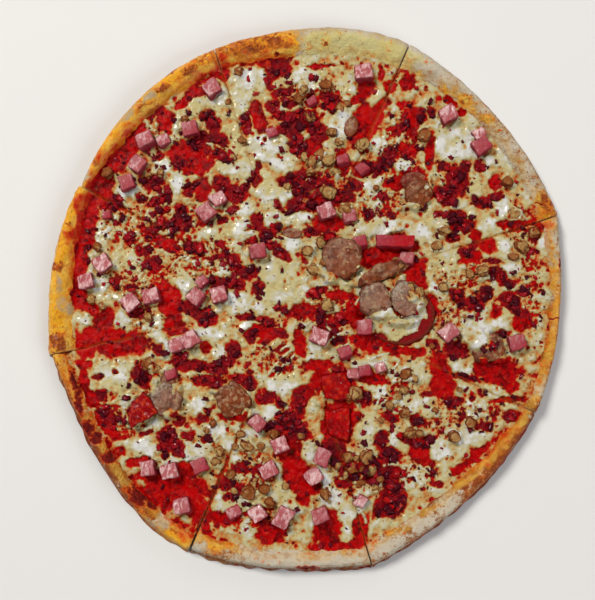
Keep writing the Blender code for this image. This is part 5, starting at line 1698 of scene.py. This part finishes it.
class PIZZA_OT_crumbs(bpy.types.Operator):
    """Strews the fine crumbs of bacon between the bits"""
    bl_idname = "pizza.crumbs"
    bl_label = "Bacon crumbs"

    def execute(self, context):
        sizes = context.scene.pizza_sizes
        draw = np.random.RandomState(77)
        x, y = strewn(sizes.bacon_crumbs,
                      lambda x, y: heaped(x, y, (0.8, 0.6), (0.35, 0.5), 0.05), draw)
        size = 0.9 + 1.6 * draw.uniform(0, 1, x.shape) ** 1.6
        z = np.minimum(toppings(x, y, sizes)["height"], 10.5) + 0.1 * size
        turns = any_turn(draw, 0.8, 0.8, x.shape)
        wide = size * draw.uniform(0.5, 0.9, x.shape)
        rows = np.stack([x, y, z, *turns, size, wide, 0.55 * size], 1)
        piece = copies([lump(330 + k, 1, 0.45) for k in range(8)], rows.tolist(),
                       draw.uniform(0.1, 1, x.shape).tolist())
        finish_piece(piece, "bacon_crumbs", "ham", bacon_finish(context.scene.pizza_colours))
        return {"FINISHED"}


class PIZZA_OT_herbs(bpy.types.Operator):
    """Strews flecks of dried herb over the cheese"""
    bl_idname = "pizza.herbs"
    bl_label = "Herbs"

    def execute(self, context):
        sizes = context.scene.pizza_sizes
        draw = np.random.RandomState(57)
        x, y = strewn(sizes.herb_flecks, lambda x, y: np.full(x.shape, 0.3), draw)
        z = toppings(x, y, sizes)["height"] + 0.12
        size = draw.uniform(0.6, 1.7, x.shape)
        thin = np.full(x.shape, 0.35)
        rows = np.stack([x, y, z, *any_turn(draw, 0.3, 0.3, x.shape), size, 0.55 * size, thin], 1)
        piece = copies([lump(400 + k, 1, 0.3) for k in range(5)], rows.tolist(),
                       draw.uniform(0, 1, x.shape).tolist())
        finish_piece(piece, "herb_flecks", "sauce_and_cheese",
                     speck_finish(context.scene.pizza_colours))
        return {"FINISHED"}


class PIZZA_OT_stage(bpy.types.Operator):
    """Sets the floor, the studio lights and the camera"""
    bl_idname = "pizza.stage"
    bl_label = "Stage"

    def execute(self, context):
        self.lay_floor(context.scene.pizza_colours.floor)
        for name, place, size, power, colour in LIGHTS:
            self.light(name, place, size, power, colour)
        world = bpy.data.worlds.new("studio")
        context.scene.world = world
        world.use_nodes = True
        background = world.node_tree.nodes["Background"]
        background.inputs["Color"].default_value = (*STUDIO_COLOUR, 1)
        background.inputs["Strength"].default_value = STUDIO_STRENGTH
        self.set_camera(context.scene)
        context.scene.view_settings.view_transform = "Standard"
        context.scene.view_settings.look = "None"
        context.scene.view_settings.exposure = 0.0
        return {"FINISHED"}

    @staticmethod
    def lay_floor(colour):
        """A plain floor with a faint mottle."""
        clear_selection()
        bpy.ops.mesh.primitive_plane_add(size=FLOOR_SIZE, location=(0, 0, 0))
        floor = bpy.context.object
        floor.name = "floor"
        f = Finish("floor", specular_ior_level=0.2)
        mottle = (f.noise(60, 3) * 0.5 + 0.5).clip() * 0.06
        floor.data.materials.append(f.done(f.mix(mottle, colour, FLOOR_MOTTLE),
                                           0.8 + f.noise(5, 2) * 0.05))

    @staticmethod
    def light(name, place, size, power, colour):
        """A round area light that faces the pizza."""
        clear_selection()
        bpy.ops.object.light_add(type="AREA", location=place)
        lamp = bpy.context.object
        lamp.name = name
        lamp.data.shape = "DISK"
        lamp.data.size, lamp.data.energy, lamp.data.color = size, power, colour
        lamp.rotation_euler = (-Vector(place)).to_track_quat("-Z", "Y").to_euler()

    @staticmethod
    def set_camera(scene):
        """A camera that looks straight down."""
        lens = bpy.data.cameras.new("camera")
        lens.sensor_fit = "AUTO"
        lens.sensor_width = SENSOR
        lens.lens = SENSOR * CAMERA_AWAY / VIEW
        lens.shift_y = (VIEW_MIDDLE_Y - CAMERA_PLACE[1]) / VIEW
        lens.clip_start, lens.clip_end = 0.01, 20
        camera = bpy.data.objects.new("camera", lens)
        scene.collection.objects.link(camera)
        camera.location = (*CAMERA_PLACE, CHEESE_LEVEL + CAMERA_AWAY)
        scene.camera = camera


PIECES = (
    PIZZA_OT_crust, PIZZA_OT_toppings, PIZZA_OT_ham, PIZZA_OT_sausage, PIZZA_OT_pepper,
    PIZZA_OT_crumbles, PIZZA_OT_bacon, PIZZA_OT_crumbs, PIZZA_OT_herbs, PIZZA_OT_stage,
)


class PIZZA_PT_panel(bpy.types.Panel):
    """Lists the steps that dress the pizza, and its sizes and colours"""
    bl_idname = "PIZZA_PT_panel"
    bl_label = "Meat Pizza"
    bl_space_type = "VIEW_3D"
    bl_region_type = "UI"
    bl_category = "Meat Pizza"

    def draw(self, context):
        for operator in PIECES:
            self.layout.operator(operator.bl_idname)
        for group in (context.scene.pizza_sizes, context.scene.pizza_colours):
            box = self.layout.box()
            for name in group.bl_rna.properties.keys():
                if name not in ("rna_type", "name"):
                    box.prop(group, name)


CLASSES = (PizzaSizes, PizzaColours, *PIECES, PIZZA_PT_panel)


def register():
    for cls in CLASSES:
        bpy.utils.register_class(cls)
    bpy.types.Scene.pizza_sizes = PointerProperty(type=PizzaSizes)
    bpy.types.Scene.pizza_colours = PointerProperty(type=PizzaColours)


def unregister():
    del bpy.types.Scene.pizza_colours
    del bpy.types.Scene.pizza_sizes
    for cls in reversed(CLASSES):
        bpy.utils.unregister_class(cls)


def main():
    register()
    for operator in PIECES:
        group, name = operator.bl_idname.split(".")
        getattr(getattr(bpy.ops, group), name)()


if __name__ == "__main__":
    main()
